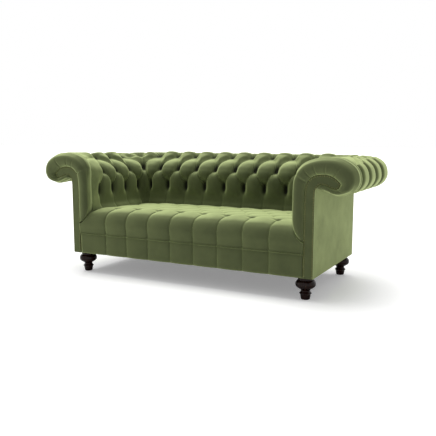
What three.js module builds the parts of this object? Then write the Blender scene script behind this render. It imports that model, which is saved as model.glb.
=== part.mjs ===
// A two-and-a-half seat chesterfield sofa: hardwood frame, serpentine springs, deep-buttoned
// velvet upholstery, scroll arms with nailed facings, and four turned legs.
// Millimetres, +Z up, +X along the length, the back towards +Y. The origin is on the floor,
// under the middle of the sofa.
import * as THREE from "three";

// Overall sizes
const legHeight = 130;
const bodyWidth = 1652; // across the two outer arm panels
const bodyDepth = 784; // front of the facing strips to the outer back panel
const wall = 136; // thickness of an arm or the back, from the crest of the padding to its panel
const rollReach = 244; // how far the roll hangs out past the outer panel
const rollTop = 785; // top of the roll above the floor
const rollDepth = 204; // top of the roll to its underside
const cornerRadius = 6; // inside corner between an arm and the back

// Running clearances
const gap = 0.3; // between pieces that touch
const softGap = 0.6; // between two padded pieces

// Frame timber
const railThickness = 30;
const railDrop = 14.2; // top of the rails below the front seam
const railLift = 1.8; // underside of the rails above the underside of the body
const ribWidth = 44; // front to back of a scroll rib's upright
const ribThickness = 20;
const headHeight = 74; // scroll head of a rib, from its underside to the top rail's top
const headInset = 60; // scroll head back from the outermost point of the roll
const headDrop = 79; // top rail's top below the top of the roll
const topRailThickness = 20;
const topRailWidth = 170;
const shoulderRise = 91; // slope of a rib, from its upright to the top rail's top
const stretcherWidth = 45;
const stretcherDrop = 38; // top of a stretcher below the top of the rails
const stretcherOffset = 330; // each side of the middle
const armRibShare = 0.5; // place of the middle arm rib along the arm
const blockWidth = 90;
const blockDrop = 18; // top of a corner block below the top of the rails

// Suspension and seat
const springCount = 6;
const springMargin = 100.5; // outermost spring clear of the outer back ribs
const springWire = 4;
const springSwing = 26; // side to side reach of the zigzag, from its middle
const springBends = 11;
const hessianThickness = 2;
const seatBaseHeight = 352; // underside of the seat cover above the floor
const seatEdgeThickness = 60; // seat beside the arms, above the cover's underside
const seatCrown = 28; // rise of the seat's middle over its edges
const seatRearDrop = 18; // fall of the seat towards the back
const noseRadius = 74; // bull-nose front of the seat
const noseOverhang = 9; // bull-nose ahead of the facing strips
const noseLip = 34; // thickness of the seat's front lip
const seatPitch = 161.4; // between two pleats of the seat
const seatRowPitch = 122; // between two button rows of the seat
const seatFirstRow = 135; // first button row behind the facing strips
const seatTuftDepth = 16;
const seatPleatDepth = 6;
const seamHeight = 264; // seam under the bull-nose, above the floor
const pipingRadius = 3;
const pipingSides = 8;

// Buttoned walls
const backPitch = 154.3; // between two buttons of a row on the back
const armPitch = 150; // between two buttons of a row on an arm
const armLastButton = 8; // last odd-row button of an arm, ahead of the inside corner
const armPlainLength = 170; // unbuttoned front of an arm's inside
const tuftFloorShare = 0.12; // padding left under a button, as a share of its full thickness
const pleatRidgeShare = 0.4; // height of a pleat halfway between two buttons
const skirtPleatShare = 0.12; // depth of the upright pleats under the lowest row
const mitreShare = 0.55; // height of the padding left at the corner seam
const ribPleatDepth = 22; // gathers over the outside of the roll
const liningThickness = 3;
const panelThickness = 4;
const dustCoverThickness = 1.5;

// Arm fronts
const padDepth = 60; // front pad's back edge behind the facing strip's front
const padBulge = 28; // front pad's swell ahead of the facing strip
const padThickness = 28;
const padTipRise = 180; // lower tip of the front pad above the underside of the body
const padTipHeight = 140; // height of the curve from that tip to the upright edge
const facingThickness = 13;
const facingInset = 80; // facing strip's inner edge, out from the crest of the arm
const trimWidth = 9;
const trimInset = 1.5;
const trimThickness = 1.2;

// Legs
const legSideInset = 62; // leg axis in from the outer arm panel
const legFrontInset = 67; // front leg axis behind the facing strips
const legBackInset = 48; // rear leg axis in from the outer back panel
const legTopRadius = 42;
const legBallRadius = 56.5;
const legNeckRadius = 25;
const legRingRadius = 34.5;
const legFootRadius = 21.5;
const legSegments = 20;
const studRadius = 4;
const studSides = 12;
const studLegDepth = 40;
const studBlockDrop = 40; // top of a stud below the top of its block
const studHoleRadius = 6; // hole in the dust cover

// Places that follow from the sizes
const underside = legHeight;
const overallDepth = bodyDepth + rollReach + padBulge;
const frontFace = padBulge - overallDepth / 2;
const backFace = frontFace + bodyDepth;
const sideFace = bodyWidth / 2;
const pivotX = sideFace - wall - cornerRadius;
const pivotY = backFace - wall - cornerRadius;
const insideX = sideFace - wall;
const insideY = backFace - wall;
const rollBottom = rollTop - rollDepth;
const rollSpan = wall + rollReach;
const panelInner = wall - panelThickness - gap; // ribs' outer face, out from the crest
const ribInner = panelInner - ribWidth;
const stuffingInner = ribInner - liningThickness - 2 * gap;
const headTop = rollTop - headDrop;
const headBottom = headTop - headHeight;
const headOuter = rollSpan - headInset;
const shoulder = headTop - shoulderRise;
const topRailInner = headOuter - topRailWidth;
const railBottom = underside + railLift;
const railTop = seamHeight - railDrop;
const blockTop = railTop - blockDrop;
const wireMiddle = railTop + gap + springWire / 2;
const deckBottom = wireMiddle + springWire / 2 + gap;
const deckTop = deckBottom + hessianThickness + gap;
const padBack = frontFace + padDepth;
const boardFront = frontFace + facingThickness + gap;
const boardBack = boardFront + ribThickness;
const borderBack = frontFace + facingThickness;
const frontRailBack = borderBack + gap + railThickness;
const backRailFront = backFace - panelThickness - gap - railThickness;
const sideRailInner = sideFace - panelThickness - gap - railThickness;

// Materials
const finishes = {
  velvet: { color: 0x8a9a5e, roughness: 0.85, metalness: 0 },
  frameWood: { color: 0xc8a877, roughness: 0.8, metalness: 0 },
  legWood: { color: 0x1c0806, roughness: 0.25, metalness: 0 },
  steel: { color: 0x8d9093, roughness: 0.4, metalness: 1 },
  nailMetal: { color: 0x8f8a58, roughness: 0.4, metalness: 1 },
  hessian: { color: 0xa58c62, roughness: 0.95, metalness: 0 },
  foam: { color: 0xe6dcae, roughness: 0.95, metalness: 0 },
  lining: { color: 0x1b1b1b, roughness: 0.9, metalness: 0 },
};

const sofa = new THREE.Group();
const sides = [
  { name: "left", sign: -1 },
  { name: "right", sign: 1 },
];

function add(name, finish, geometry) {
  const piece = new THREE.Mesh(geometry, new THREE.MeshStandardMaterial(finishes[finish]));
  piece.name = name;
  sofa.add(piece);
  return piece;
}

// A closed body through a row of loops with equal point counts, ends capped, faces out.
// Each four-cornered patch is folded along its shorter diagonal, so both slants look alike.
function loft(loops) {
  const count = loops[0].length;
  const points = loops.flat();
  const reach = (i, j) => Math.hypot(...points[i].map((value, axis) => value - points[j][axis]));
  const faces = [];
  for (let row = 0; row + 1 < loops.length; row += 1) {
    for (let i = 0; i < count; i += 1) {
      const a = row * count + i;
      const b = row * count + ((i + 1) % count);
      const c = b + count;
      const d = a + count;
      if (reach(a, c) <= reach(b, d)) faces.push([a, b, c], [a, c, d]);
      else faces.push([a, b, d], [b, c, d]);
    }
  }
  const last = (loops.length - 1) * count;
  capFaces(loops[0]).forEach(([a, b, c]) => faces.push([c, b, a]));
  capFaces(loops[loops.length - 1]).forEach(([a, b, c]) => faces.push([a + last, b + last, c + last]));
  const volume = faces.reduce((sum, [a, b, c]) => {
    const [p, q, r] = [a, b, c].map((i) => new THREE.Vector3(...points[i]));
    return sum + p.dot(q.cross(r));
  }, 0);
  const index = volume > 0 ? faces.flat() : faces.flatMap(([a, b, c]) => [a, c, b]);
  const geometry = new THREE.BufferGeometry();
  geometry.setAttribute("position", new THREE.Float32BufferAttribute(points.flat(), 3));
  geometry.setIndex(index);
  geometry.computeVertexNormals();
  return geometry;
}

// Triangles over one flat loop, each turning the same way as the loop.
function capFaces(loop) {
  const normal = new THREE.Vector3();
  loop.forEach((p, i) => {
    const q = loop[(i + 1) % loop.length];
    normal.x += (p[1] - q[1]) * (p[2] + q[2]);
    normal.y += (p[2] - q[2]) * (p[0] + q[0]);
    normal.z += (p[0] - q[0]) * (p[1] + q[1]);
  });
  const size = (axis) => Math.abs(normal.getComponent(axis));
  const drop = [0, 1, 2].sort((i, j) => size(j) - size(i))[0];
  const flat = loop.map((p) => new THREE.Vector2(...p.filter((_, axis) => axis !== drop)));
  const turn = Math.sign(THREE.ShapeUtils.area(flat));
  return THREE.ShapeUtils.triangulateShape(flat, []).map(([a, b, c]) =>
    Math.sign(THREE.ShapeUtils.area([flat[a], flat[b], flat[c]])) === turn ? [a, b, c] : [a, c, b]
  );
}

function box(name, finish, [x0, x1], [y0, y1], [z0, z1]) {
  const geometry = new THREE.BoxGeometry(x1 - x0, y1 - y0, z1 - z0);
  const piece = add(name, finish, geometry);
  piece.position.set((x0 + x1) / 2, (y0 + y1) / 2, (z0 + z1) / 2);
  return piece;
}

// A span between two distances from the middle, on the left or the right.
function span(sign, inner, outer) {
  return sign > 0 ? [inner, outer] : [-outer, -inner];
}

// A flat board across an arm: outline in (distance out from the crest, height).
function armBoard(name, finish, sign, outline, [y0, y1]) {
  const loop = (y) => outline.map(([d, z]) => [sign * (insideX + d), y, z]);
  return add(name, finish, loft([loop(y0), loop(y1)]));
}

function mix(a, b, share) {
  return a + (b - a) * share;
}

function smooth(from, to, value) {
  const t = Math.min(1, Math.max(0, (value - from) / (to - from)));
  return t * t * (3 - 2 * t);
}

const rollRootShare = 0.2; // height of the roll's meeting with the outer panel, in its depth

// Crest of the padding in half steps, from the seat up the inside and over the roll.
// Each point is a share of the roll's span and of its depth below the top.
const crestShares = [
  [0.003, 1.18], [0.003, 0.89], [0.018, 0.6], [0.07, 0.37], [0.27, 0.085], [0.54, 0],
  [0.71, 0.025], [0.85, 0.13], [0.955, 0.29], [0.998, 0.5], [0.99, 0.7],
  [0.92, 0.88], [0.79, 0.985], [0.6, 0.945],
];
const crest = [
  [0, seatBaseHeight],
  [0, mix(seatBaseHeight, rollTop - rollDepth * crestShares[0][1], 0.5)],
  ...crestShares.map(([out, down]) => [out * rollSpan, rollTop - down * rollDepth]),
  [wall + gap, rollBottom + rollRootShare * rollDepth],
];

// Floor of the tufts: the line of the frame behind the padding, in the same half steps.
function slope(share) {
  return [mix(stuffingInner, topRailInner - gap, share), mix(shoulder, headTop + gap, share)];
}
const rollMiddle = [headOuter - topRailWidth / 2, headBottom + headHeight / 2];
const frameLine = [
  [stuffingInner, seatBaseHeight],
  [stuffingInner, crest[1][1]],
  [stuffingInner, mix(seatBaseHeight, shoulder, 0.67)],
  [stuffingInner, mix(seatBaseHeight, shoulder, 0.93)],
  slope(0.35),
  slope(0.85),
  [mix(topRailInner, headOuter, 0.43), headTop + gap],
  [mix(topRailInner, headOuter, 0.7), headTop + gap],
  [headOuter, headTop + gap],
];
const firstRow = 2; // half step of the lowest button row
const lastRow = 8; // half step of the row on top of the roll

// Deepest point of the surface at a half step: a tuft inside, a gather over the outside.
function valley(step) {
  const [d, z] = crest[step];
  if (step <= lastRow && step >= firstRow) {
    const [fd, fz] = frameLine[step];
    return [mix(fd, d, tuftFloorShare), mix(fz, z, tuftFloorShare)];
  }
  if (step < firstRow) return [mix(d, stuffingInner, skirtPleatShare), z];
  const reach = Math.hypot(d - rollMiddle[0], z - rollMiddle[1]);
  const depth = ribPleatDepth * (1 - smooth(lastRow, crest.length - 1, step));
  return [mix(d, rollMiddle[0], depth / reach), mix(z, rollMiddle[1], depth / reach)];
}

// Height of the padding, 0 at a button to 1 on a diamond's middle. The place is in pitches
// along a row, where the lowest row has its buttons at whole numbers.
function fullness(place, step) {
  const wave = (q) => Math.abs(Math.sin(Math.PI * q));
  if (step < firstRow) return step === 0 ? 1 : wave(place) > 0.5 ? 1 : 0;
  const row = Math.min(Math.floor((step - firstRow) / 2), (lastRow - firstRow) / 2);
  const along = step > lastRow ? 0 : (step - firstRow) / 2 - row;
  const phase = place + row / 2;
  const ridge = pleatRidgeShare * 4 * along * (1 - along);
  return ridge + (1 - ridge) * Math.sqrt(wave(phase - along / 2) * wave(phase + along / 2));
}

// One loop of a padded wall: its buttoned outside, then back along the frame.
function wallLoop(place, cover) {
  const outside = crest.map((point, step) => {
    const low = valley(step);
    const share = mix(cover, cover * fullness(place, step), cover > mitreShare ? 1 : 0);
    const full = place === null ? cover : share;
    return [mix(low[0], point[0], full), mix(low[1], point[1], full)];
  });
  const inside = [
    [wall + gap, headBottom - gap],
    [headOuter + gap, headBottom - gap],
    [headOuter + gap, headTop + gap],
    [topRailInner - gap, headTop + gap],
    [stuffingInner, shoulder],
    [stuffingInner, seatBaseHeight],
  ];
  return [...outside, ...inside];
}

// Sets a wall loop out from a pivot, at an angle of 0 along +X to a right angle along +Y,
// and slides it by a distance square to itself, towards the back.
function turned(loop, sign, x, y, angle, slide = 0) {
  const [alongX, alongY] = [Math.cos(angle), Math.sin(angle)];
  return loop.map(([d, z]) => {
    const out = d + cornerRadius;
    return [sign * (x + out * alongX - slide * alongY), y + out * alongY + slide * alongX, z];
  });
}

const cornerSteps = 4; // loops from a wall's straight run to the corner seam
const stationCount = 4; // loops from one button to the next
const mitre = Math.PI / 4;

function armUpholstery({ name, sign }) {
  const loops = [];
  const lastButton = pivotY - armLastButton;
  const steps = Math.floor(((lastButton - padBack) * stationCount) / armPitch);
  loops.push(turned(wallLoop(null, 1), sign, pivotX, padBack, 0));
  for (let i = steps; i >= 0; i -= 1) {
    const y = lastButton - (i * armPitch) / stationCount;
    const plain = y < padBack + armPlainLength - armPitch / 2;
    const loop = wallLoop(plain ? null : -i / stationCount, 1);
    if (y > padBack + softGap) loops.push(turned(loop, sign, pivotX, y, 0));
  }
  for (let i = 0; i <= cornerSteps; i += 1) {
    const share = i / cornerSteps;
    const place = mix(armLastButton / armPitch, 1, share);
    const loop = share === 1 ? wallLoop(null, mitreShare) : wallLoop(place, 1);
    const slide = share === 1 ? -softGap / 2 : 0;
    loops.push(turned(loop, sign, pivotX, pivotY, share * mitre, slide));
  }
  add(`${name}_arm_upholstery`, "velvet", loft(loops));
}

function backUpholstery() {
  const loops = [];
  const half = Math.floor((pivotX * stationCount) / backPitch);
  const corner = (sign) => {
    const turns = [];
    for (let i = 0; i <= cornerSteps; i += 1) {
      const share = i / cornerSteps;
      const place = pivotX / backPitch + 0.5 + share;
      const loop = share === 1 ? wallLoop(null, mitreShare) : wallLoop(place, 1);
      const slide = share === 1 ? softGap / 2 : 0;
      turns.push(turned(loop, sign, pivotX, pivotY, Math.PI / 2 - share * mitre, slide));
    }
    return turns;
  };
  loops.push(...corner(-1).reverse());
  for (let i = -half; i <= half; i += 1) {
    const x = (i * backPitch) / stationCount;
    loops.push(turned(wallLoop(i / stationCount + 0.5, 1), 1, x, pivotY, Math.PI / 2));
  }
  loops.push(...corner(1));
  add("back_upholstery", "velvet", loft(loops));
}

// The front pad's edge against the seat: a quarter oval from its tip to the upright edge.
const padTip = underside + padTipRise;
function padEdgeHeight(d) {
  const share = (facingInset - d) / facingInset;
  return padTip + padTipHeight * (1 - Math.sqrt(Math.max(0, 1 - share * share)));
}

// Whether a place in pitches lies on a pleat or a button.
function onPleat(place) {
  return Math.abs(place - Math.round(place)) < 1 / (4 * stationCount);
}

// Seat cover: one loop at each place across, over the bull-nose and the crowned top.
const noseShares = [
  [0.06, 0.2], [0, 0.45], [0.12, 0.68], [0.42, 0.86], [0.95, 0.97],
];
const seatTop = seatBaseHeight + seatEdgeThickness - noseRadius / 5;
function seatProfile(x) {
  const crown = seatCrown * (1 - (x / insideX) ** 4);
  const top = seatTop + crown;
  const front = frontFace - noseOverhang;
  const column = x / seatPitch + 0.5;
  const pleat = onPleat(column) ? seatPleatDepth : 0;
  const nose = noseShares.map(([back, up]) => [
    front + back * noseRadius + pleat,
    mix(seamHeight + gap, top, up),
  ]);
  const rows = [];
  const length = insideY - softGap - (frontFace + seatFirstRow);
  const count = Math.floor((length * 2) / seatRowPitch);
  for (let i = 0; i <= count; i += 1) {
    const half = (i % 4) / 2;
    const tuft = i % 2 === 0 && onPleat(column + half) ? seatTuftDepth : 0;
    const y = frontFace + seatFirstRow + (i * seatRowPitch) / 2;
    const fall = seatRearDrop * smooth(0, length, y - frontFace - seatFirstRow);
    rows.push([y, top + noseRadius / 12 - fall - tuft]);
  }
  const rear = insideY - softGap - cornerRadius / 2;
  return [
    [frontFace + pleat / 2, seamHeight + gap],
    ...nose,
    ...rows,
    [rear, top - seatRearDrop - seatTuftDepth / 2],
    [rear, seatBaseHeight],
    [frontFace + noseLip, seatBaseHeight],
    [frontFace + noseLip, seamHeight + gap],
  ];
}

function seatCover() {
  const columns = [];
  const half = Math.floor((insideX * stationCount) / seatPitch);
  for (let i = -half; i <= half; i += 1) columns.push((i * seatPitch) / stationCount);
  const edge = insideX - 2 * softGap;
  const place = (x, profile) => profile.map(([y, z]) => [x, y, z]);
  const full = columns.filter((x) => Math.abs(x) < edge - seatPitch / 12);
  const loops = [-edge, ...full, edge].map((x) => place(x, seatProfile(x)));
  const tipShares = [0, 0.2, 0.45, 0.75, 1];
  const tip = (sign) =>
    tipShares.map((share) => {
      const d = share * (facingInset - softGap);
      const profile = seatProfile(edge);
      const top = Math.max(...profile.map(([, z]) => z));
      const limit = Math.min(seatTop, padEdgeHeight(d) - 2 * softGap);
      const front = frontFace - noseOverhang;
      const depth = noseLip / (insideY - front);
      return profile.map(([y, z]) => [
        sign * (insideX - softGap + d),
        front + (y - front) * depth,
        mix(seamHeight + gap, limit, (z - seamHeight - gap) / (top - seamHeight - gap)),
      ]);
    });
  add("seat_cover", "velvet", loft([...tip(-1).reverse(), ...loops, ...tip(1)]));
}

// Front border under the seam, with the seat's pleats carried down it.
function frontBorder() {
  const half = Math.floor(((insideX + facingInset) * stationCount) / seatPitch);
  const edge = insideX + facingInset - gap;
  const columns = [-edge];
  for (let i = -half; i <= half; i += 1) columns.push((i * seatPitch) / stationCount);
  columns.push(edge);
  const loops = columns.map((x) => {
    const pleat = onPleat(x / seatPitch + 0.5) ? seatPleatDepth / 2 : 0;
    return [
      [x, frontFace + pleat, underside],
      [x, frontFace + pleat, seamHeight - gap],
      [x, borderBack, seamHeight - gap],
      [x, borderBack, underside],
    ];
  });
  add("front_border", "velvet", loft(loops));
  const piping = new THREE.CylinderGeometry(pipingRadius, pipingRadius, 2 * edge, pipingSides);
  const bead = add("front_piping", "velvet", piping);
  bead.rotation.z = Math.PI / 2;
  bead.position.set(0, frontFace - pipingRadius - gap, seamHeight - pipingRadius);
}

// Arm front: the facing strip runs up as a J and curls into the scroll, and the front pad
// fills from its edge to the outline of the roll. Each row pairs a point of the strip's edge
// with a point of the outline. A place across is a share of the way from the strip's own edge,
// or from the crest of the arm, to the roll's outermost point, and a height is a share of the
// roll's depth below its top.
const scrollShares = [
  { strip: [0.0006, 1.12], roll: [0.003, 1.18] },
  { strip: [0.0095, 0.86], roll: [0.003, 0.89] },
  { strip: [0.0272, 0.73], roll: [0.018, 0.6] },
  { strip: [0.0627, 0.635], roll: [0.07, 0.37] },
  { strip: [0.1133, 0.55], roll: [0.16, 0.19] },
  { strip: [0.1893, 0.485], roll: [0.27, 0.085] },
  { strip: [0.2767, 0.46], roll: [0.41, 0.02] },
  { strip: [0.3667, 0.455], roll: [0.54, 0] },
  { strip: [0.449, 0.475], roll: [0.71, 0.025] },
  { strip: [0.5263, 0.525], roll: [0.85, 0.13] },
  { strip: [0.5997, 0.608], roll: [0.955, 0.29] },
  { strip: [0.6327, 0.66], roll: [0.998, 0.5] },
  { strip: [0.6403, 0.71], roll: [0.99, 0.7] },
  { strip: [0.6099, 0.785], roll: [0.92, 0.88] },
  { strip: [0.5503, 0.82], roll: [0.79, 0.985] },
  { strip: [0.4604, 0.775], roll: [0.69, 1] },
  { strip: [0.3857, 0.73], roll: [0.6, 0.945] },
  { strip: [0.2995, 0.71], roll: [0.48, 0.87] },
  { strip: [0.24, 0.755], roll: [0.4, 0.83] },
];
const onRoll = ([out, down]) => [out * rollSpan, rollTop - down * rollDepth];
const onStrip = ([out, down]) => [mix(facingInset, rollSpan, out), rollTop - down * rollDepth];
const scrollEdge = scrollShares.map(({ strip }) => onStrip(strip));
const throatShares = [0.008, 0.87]; // strip's outer edge where it leaves the arm's side
const throat = [mix(wall, rollSpan, throatShares[0]), rollTop - throatShares[1] * rollDepth];
const facingOutline = [
  [facingInset, underside],
  ...scrollEdge,
  throat,
  [wall, rollBottom],
  [wall, underside],
];

// A closed outline drawn in by a distance, all but its level foot.
function insetLine(line, distance) {
  return line.map((point, i) => {
    const before = line[Math.max(0, i - 1)];
    const after = line[Math.min(line.length - 1, i + 1)];
    const length = Math.hypot(after[0] - before[0], after[1] - before[1]);
    const dx = (after[0] - before[0]) / length;
    const dz = (after[1] - before[1]) / length;
    return [point[0] + dz * distance, point[1] - dx * distance];
  });
}

function facing({ name, sign }) {
  const back = frontFace + facingThickness;
  armBoard(`${name}_facing_strip`, "velvet", sign, facingOutline, [frontFace, back]);
  const near = insetLine(facingOutline, trimInset);
  const far = insetLine(facingOutline, trimInset + trimWidth);
  const front = frontFace - gap - trimThickness;
  armBoard(`${name}_nail_trim`, "nailMetal", sign, [...near, ...far.reverse()], [front, frontFace - gap]);
}

// Front pad: one cross-section at each pair, from the strip's edge over the swell to the
// outline, then back along the arm board. Its lower end tapers to a tip against the strip.
const padTaper = [
  { d: 0.92, rise: 0.12 },
  { d: 0.6, rise: 0.32 },
  { d: 0.3, rise: 0.55 },
  { d: 0.08, rise: 0.8 },
  { d: 0, rise: 1 },
];
const padCrossShares = [[0.2, 0.8], [0.45, 1], [0.72, 0.85], [0.93, 0.25]];

function frontPad({ name, sign }) {
  const taper = padTaper.map(({ d, rise }) => ({
    inner: [facingInset, mix(padTip, padTip + padTipHeight, rise)],
    outer: [d * facingInset, padEdgeHeight(d * facingInset)],
  }));
  const scroll = scrollShares.map(({ strip, roll }) => ({ inner: onStrip(strip), outer: onRoll(roll) }));
  const loops = [...taper, ...scroll].map(({ inner, outer }) => {
    const width = Math.hypot(outer[0] - inner[0], outer[1] - inner[1]);
    const at = (share, y) => {
      const d = mix(inner[0], outer[0], share);
      return [sign * (insideX + d), y, mix(inner[1], outer[1], share)];
    };
    const swell = padBulge * Math.min(1, width / facingInset);
    const hollow = 1 - Math.min(padThickness, width / 2) / width;
    const clear = (2 * softGap) / width;
    return [
      at(clear, boardFront - gap),
      at(clear, frontFace),
      ...padCrossShares.map(([share, rise]) => at(share, frontFace - rise * swell)),
      at(1, mix(frontFace, padBack, 0.5)),
      at(1, padBack - gap),
      at(hollow, padBack - gap),
      at(hollow, boardFront - gap),
    ];
  });
  add(`${name}_arm_front_pad`, "velvet", loft(loops));
}

// Scroll rib: an upright, a slope behind the padding and a head that carries the top rail.
function ribOutline(foot) {
  return [
    [ribInner, foot],
    [ribInner, shoulder],
    [topRailInner, headTop - topRailThickness - gap],
    [headOuter, headTop - topRailThickness - gap],
    [headOuter, headBottom],
    [panelInner, headBottom],
    [panelInner, foot],
  ];
}

function armFrame({ name, sign }) {
  const rearEnd = backFace - panelThickness - gap;
  const ribFoot = railTop + gap;
  const railSpan = span(sign, sideRailInner, sideRailInner + railThickness);
  box(`${name}_side_rail`, "frameWood", railSpan, [boardBack + gap, rearEnd], [railBottom, railTop]);
  armBoard(`${name}_arm_front_board`, "frameWood", sign, ribOutline(railBottom), [boardFront, boardBack]);
  const middle = mix(boardBack, pivotY, armRibShare);
  const middleSpan = [middle - ribThickness / 2, middle + ribThickness / 2];
  armBoard(`${name}_arm_middle_rib`, "frameWood", sign, ribOutline(ribFoot), middleSpan);
  armBoard(`${name}_arm_rear_rib`, "frameWood", sign, ribOutline(ribFoot), [pivotY - ribThickness, pivotY]);
  const plankX = span(sign, insideX + topRailInner, insideX + headOuter);
  const plankY = [boardFront, pivotY - ribThickness / 2 - gap];
  box(`${name}_arm_top_rail`, "frameWood", plankX, plankY, [headTop - topRailThickness, headTop]);
  const plank = [
    [topRailInner, headTop - topRailThickness],
    [headOuter, headTop - topRailThickness],
    [headOuter, headTop],
    [topRailInner, headTop],
  ];
  const bends = [turned(plank, sign, pivotX, pivotY - ribThickness / 2, 0)];
  for (let i = 0; i <= 2 * cornerSteps; i += 1) {
    bends.push(turned(plank, sign, pivotX, pivotY, (i / (2 * cornerSteps)) * (Math.PI / 2)));
  }
  bends.push(turned(plank, sign, pivotX - ribThickness / 2, pivotY, Math.PI / 2));
  add(`${name}_corner_rail`, "frameWood", loft(bends));
  const liningX = insideX + stuffingInner + gap;
  const liningSpan = span(sign, liningX, liningX + liningThickness);
  box(`${name}_arm_lining`, "hessian", liningSpan, [boardBack, pivotY], [deckTop, shoulder]);
}

function backFrame() {
  const ribFoot = railTop + gap;
  const railEnd = sideRailInner - gap;
  const railSpan = [backRailFront, backRailFront + railThickness];
  box("back_rail", "frameWood", [-railEnd, railEnd], railSpan, [railBottom, railTop]);
  const endRib = pivotX - ribThickness / 2;
  const places = [["left", -endRib], ["middle", 0], ["right", endRib]];
  places.forEach(([name, x]) => {
    const loop = (at) => ribOutline(ribFoot).map(([d, z]) => [at, insideY + d, z]);
    const solid = loft([loop(x - ribThickness / 2), loop(x + ribThickness / 2)]);
    add(`back_${name}_rib`, "frameWood", solid);
  });
  const plankEnd = endRib - gap;
  const plankY = [insideY + topRailInner, insideY + headOuter];
  box("back_top_rail", "frameWood", [-plankEnd, plankEnd], plankY, [headTop - topRailThickness, headTop]);
  const liningY = insideY + stuffingInner + gap;
  const liningEnd = insideX + stuffingInner - gap;
  const liningSpan = [liningY, liningY + liningThickness];
  box("back_lining", "hessian", [-liningEnd, liningEnd], liningSpan, [deckTop, shoulder]);
}

function seatFrame() {
  const railEnd = insideX + ribInner - gap;
  const railSpan = [borderBack + gap, frontRailBack];
  box("front_rail", "frameWood", [-railEnd, railEnd], railSpan, [railBottom, railTop]);
  sides.forEach(({ name, sign }) => {
    const x = sign * stretcherOffset;
    box(
      `${name}_seat_stretcher`, "frameWood", [x - stretcherWidth / 2, x + stretcherWidth / 2],
      [frontRailBack + gap, backRailFront - gap], [railBottom, railTop - stretcherDrop]
    );
  });
}

// Legs, with the studs that hold them and the blocks in the corners of the frame
const legPlaces = [
  {
    name: "front",
    y: frontFace + legFrontInset,
    block: [frontRailBack + gap, frontRailBack + gap + blockWidth],
  },
  {
    name: "rear",
    y: backFace - legBackInset,
    block: [backRailFront - gap - blockWidth, backRailFront - gap],
  },
];
const legX = sideFace - legSideInset;
const legProfileShares = [
  [1, 0, "foot"], [1.14, 0.02, "foot"], [1.28, 0.13, "foot"], [0.84, 0.215, "ring"], [1, 0.27, "ring"],
  [0.84, 0.325, "ring"], [1, 0.38, "neck"], [1.2, 0.44, "neck"], [0.78, 0.51, "ball"], [0.95, 0.58, "ball"],
  [1, 0.68, "ball"], [0.95, 0.77, "ball"], [0.8, 0.845, "ball"], [1, 0.865, "top"], [1, 1, "top"],
];
const legRadii = {
  foot: legFootRadius, ring: legRingRadius, neck: legNeckRadius, ball: legBallRadius, top: legTopRadius,
};

function leg(name, x, y) {
  const top = legHeight - gap;
  const outside = legProfileShares.map(
    ([share, up, part]) => new THREE.Vector2(share * legRadii[part], up * top)
  );
  const bore = studRadius + gap;
  const inside = [[bore, top], [bore, top - studLegDepth], [0, top - studLegDepth]];
  const profile = [new THREE.Vector2(0, 0), ...outside, ...inside.map((p) => new THREE.Vector2(...p))];
  const turnedLeg = add(`${name}_leg`, "legWood", new THREE.LatheGeometry(profile, legSegments));
  turnedLeg.rotation.x = Math.PI / 2;
  turnedLeg.position.set(x, y, 0);
}

function holed(width, depth, thickness, holes) {
  const outline = new THREE.Shape();
  outline.moveTo(width[0], depth[0]);
  outline.lineTo(width[1], depth[0]);
  outline.lineTo(width[1], depth[1]);
  outline.lineTo(width[0], depth[1]);
  holes.forEach(([x, y, radius]) => {
    const hole = new THREE.Path();
    hole.absarc(x, y, radius, 0, Math.PI * 2, true);
    outline.holes.push(hole);
  });
  return new THREE.ExtrudeGeometry(outline, { depth: thickness, bevelEnabled: false, curveSegments: 8 });
}

function undercarriage() {
  const holes = [];
  sides.forEach(({ name, sign }) => {
    legPlaces.forEach((place) => {
      const x = sign * legX;
      const label = `${name}_${place.name}`;
      leg(label, x, place.y);
      const studSpan = blockTop - studBlockDrop - (legHeight - studLegDepth) - gap;
      const stud = new THREE.CylinderGeometry(studRadius, studRadius, studSpan, studSides);
      const bolt = add(`${label}_leg_stud`, "steel", stud);
      bolt.rotation.x = Math.PI / 2;
      bolt.position.set(x, place.y, legHeight - studLegDepth + studSpan / 2);
      const blockX = span(sign, sideRailInner - gap - blockWidth, sideRailInner - gap);
      const bore = [[x, place.y, studRadius + gap]];
      const timber = holed(blockX, place.block, blockTop - railBottom, bore);
      const block = add(`${label}_corner_block`, "frameWood", timber);
      block.position.z = railBottom;
      holes.push([x, place.y, studHoleRadius]);
    });
  });
  const coverX = sideFace - panelThickness - gap;
  const coverY = [borderBack + gap, backFace - panelThickness - gap];
  const cloth = holed([-coverX, coverX], coverY, dustCoverThickness, holes);
  add("dust_cover", "lining", cloth).position.z = underside;
}

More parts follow.
